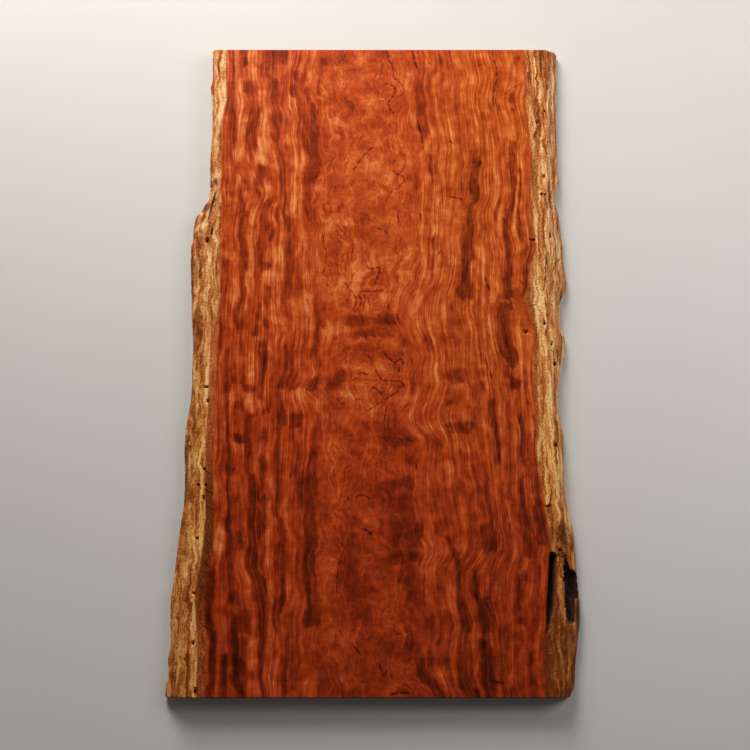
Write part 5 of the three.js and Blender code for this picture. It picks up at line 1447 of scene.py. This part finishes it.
def with_marks(wood, hollow, colour):
    """The colour with checks and borer holes on the face and the upper slopes, the holes filled near-black
    with painted shade, and the bark hollows, brown and darkened by painted shade.
    """
    sheet, x, t = wood.sheet, wood.x, wood.t
    crumbs = wood.noises["crumbs"] * 5
    above = 1 - wood.slope.step(1.0, 1.4)
    checks = thin_lines(sheet, sheet.point(x + crumbs, t + crumbs), CHECKS).step(0.05, 0.5)
    colour = sheet.mix(checks * above * 0.85, colour, CHECK_BROWN)
    # Painted shade: the borer holes and the smaller specks are filled near-black
    holes = round_spots(sheet, sheet.point(x, t), HOLES + SPECKS).step(0.16, 0.5)
    colour = sheet.mix(holes * above * 0.93, colour, HOLE_SHADE_BLACK)
    # Painted shade of the hollows: their brown floors darken towards near black where they are deep
    hollow_colour_and_shade = sheet.ramp(hollow + wood.blend(HOLLOW_MOTTLE) - 0.08, HOLLOW_WOOD_AND_SHADE_TONES)
    return sheet.mix(hollow.step(0.04, 0.3), colour, hollow_colour_and_shade)


def wood_normal(wood, on_slope):
    """Normal of the surface: pores everywhere, and fibres and ridges on the live edges."""
    sheet = wood.sheet
    pores = sheet.cells((wood.x, wood.t, wood.z), (0.9, 14, 2))
    fibres = sheet.cells((wood.x + wood.slope * 25.6, wood.t, wood.z), (3.2, 60, 6), 0, 3.0, 0.6)
    ridges = wood.blend(SAP_RIDGES) * wood.past_edge.step(0, 12) * (on_slope * 0.8 + 0.2)
    height = pores * 0.05 + fibres * on_slope * 1.4 + ridges
    return sheet.node("ShaderNodeBump", None, {"Strength": 0.9, "Distance": MM, "Height": height})["Normal"]


def bubinga(length, thickness):
    """The whole slab's material: figured red heartwood, pale sapwood with painted light and shade on its live
    edges, bark pockets and borer holes darkened by painted shade, and a satin oil finish.
    """
    sheet = Sheet("oiled_bubinga")
    wood = Wood(sheet, length, thickness)
    hollow = sheet.field("hollow")
    on_slope = wood.slope.step(0.0, 0.12) * (1 - wood.slope.step(1.9, 2.0))
    colour = sheet.mix(wood.past_edge.step(-2.5, 7), heartwood(wood), sapwood(wood))
    shader = sheet.node("ShaderNodeBsdfPrincipled", None, {
        "Base Color": with_marks(wood, hollow, colour),
        "Roughness": 0.36 + wood.fine_lines * 0.10 + on_slope * 0.14 + hollow * 0.3,
        "Normal": wood_normal(wood, on_slope),
        "Specular IOR Level": 0.12,
    })["BSDF"]
    sheet.node("ShaderNodeOutputMaterial", None, {"Surface": shader})
    return sheet.material


FLOOR_REACH = 9.0
FLOOR_TONES = ((0.60, 0.59, 0.57), (0.66, 0.65, 0.63))


def floor_material():
    """Pale matte plaster with faint clouds."""
    sheet = Sheet("pale_floor")
    place = sheet.node("ShaderNodeTexCoord")["Object"]
    clouds = sheet.noise(place, 3.0)
    colour = sheet.mix(clouds + 0.5, *FLOOR_TONES)
    shader = sheet.node("ShaderNodeBsdfPrincipled", None, {"Base Color": colour, "Roughness": 0.85})["BSDF"]
    sheet.node("ShaderNodeOutputMaterial", None, {"Surface": shader})
    return sheet.material


def make_floor():
    """A plain floor just under the slab."""
    mesh = bpy.data.meshes.new("floor")
    corners = [(x * FLOOR_REACH, y * FLOOR_REACH, 0) for x, y in ((-1, -1), (1, -1), (1, 1), (-1, 1))]
    mesh.from_pydata(corners, [], [(0, 1, 2, 3)])
    floor = bpy.data.objects.new("floor", mesh)
    bpy.context.scene.collection.objects.link(floor)
    floor.data.materials.append(floor_material())


def area_light(name, place, aim, size, watts, colour, shine):
    """A square soft light at place that faces aim. Without shine it isn't seen in reflections."""
    data = bpy.data.lights.new(name, "AREA")
    data.size = size
    data.energy = watts
    data.color = colour
    light = bpy.data.objects.new(name, data)
    bpy.context.scene.collection.objects.link(light)
    light.location = place
    away = light.location - Vector(aim)
    light.rotation_euler = away.to_track_quat("Z", "Y").to_euler()
    light.visible_glossy = shine


# The window beyond the head end, and the lights: name, place, aim, size, watts, colour, shine
WINDOW = ((-1.4, 4.6, 2.3), (-0.2, 0.6, 0.0))
LIGHTS = [
    ("window_light", *WINDOW, 2.0, 225, (1.0, 0.96, 0.90), False),
    ("window_sheen", *WINDOW, 3.0, 195, (1.0, 0.96, 0.90), True),
    ("fill_light", (3.2, 1.2, 2.6), (0.2, 0.4, 0.0), 2.0, 65, (1.0, 0.97, 0.94), True),
]
SURROUND_COLOUR = (1.0, 0.98, 0.95, 1.0)
SURROUND_STRENGTH = 0.08


def light_room():
    """A soft window beyond the head end, of which a part shines, a weak fill on the right, a dim surround."""
    for light in LIGHTS:
        area_light(*light)
    world = bpy.data.worlds.new("surround")
    world.use_nodes = True
    surround = world.node_tree.nodes["Background"]
    surround.inputs["Color"].default_value = SURROUND_COLOUR
    surround.inputs["Strength"].default_value = SURROUND_STRENGTH
    bpy.context.scene.world = world


# The camera is placed to the face as it was for the photograph, when the slab leaned back by LEAN
LEAN = math.radians(12.61)
CAMERA_FROM_FOOT = 317.5
CAMERA_ABOVE_FACE = 3624.0
FOCAL_PIXELS = 1017.0
PICTURE_PIXELS = 750
SENSOR = 36.0


def make_camera(length, thickness):
    """Looks down on the face as the photograph does."""
    data = bpy.data.cameras.new("camera")
    data.sensor_fit = "HORIZONTAL"
    data.sensor_width = SENSOR
    data.lens = SENSOR * FOCAL_PIXELS / PICTURE_PIXELS
    camera = bpy.data.objects.new("camera", data)
    bpy.context.scene.collection.objects.link(camera)
    camera.location = (0, (CAMERA_FROM_FOOT - length / 2) * MM, (CAMERA_ABOVE_FACE + thickness) * MM)
    camera.rotation_euler = (LEAN, 0, 0)
    bpy.context.scene.camera = camera


def main():
    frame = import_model()
    length, thickness, lines = read_frame(frame["nodes"]["slab"])
    make_camera(length, thickness)
    slab = make_slab(length, thickness, lines)
    slab.data.materials.append(bubinga(length, thickness))
    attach(slab, "root")
    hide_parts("slab")
    make_floor()
    light_room()
    bpy.context.scene.view_settings.view_transform = "Standard"


main()
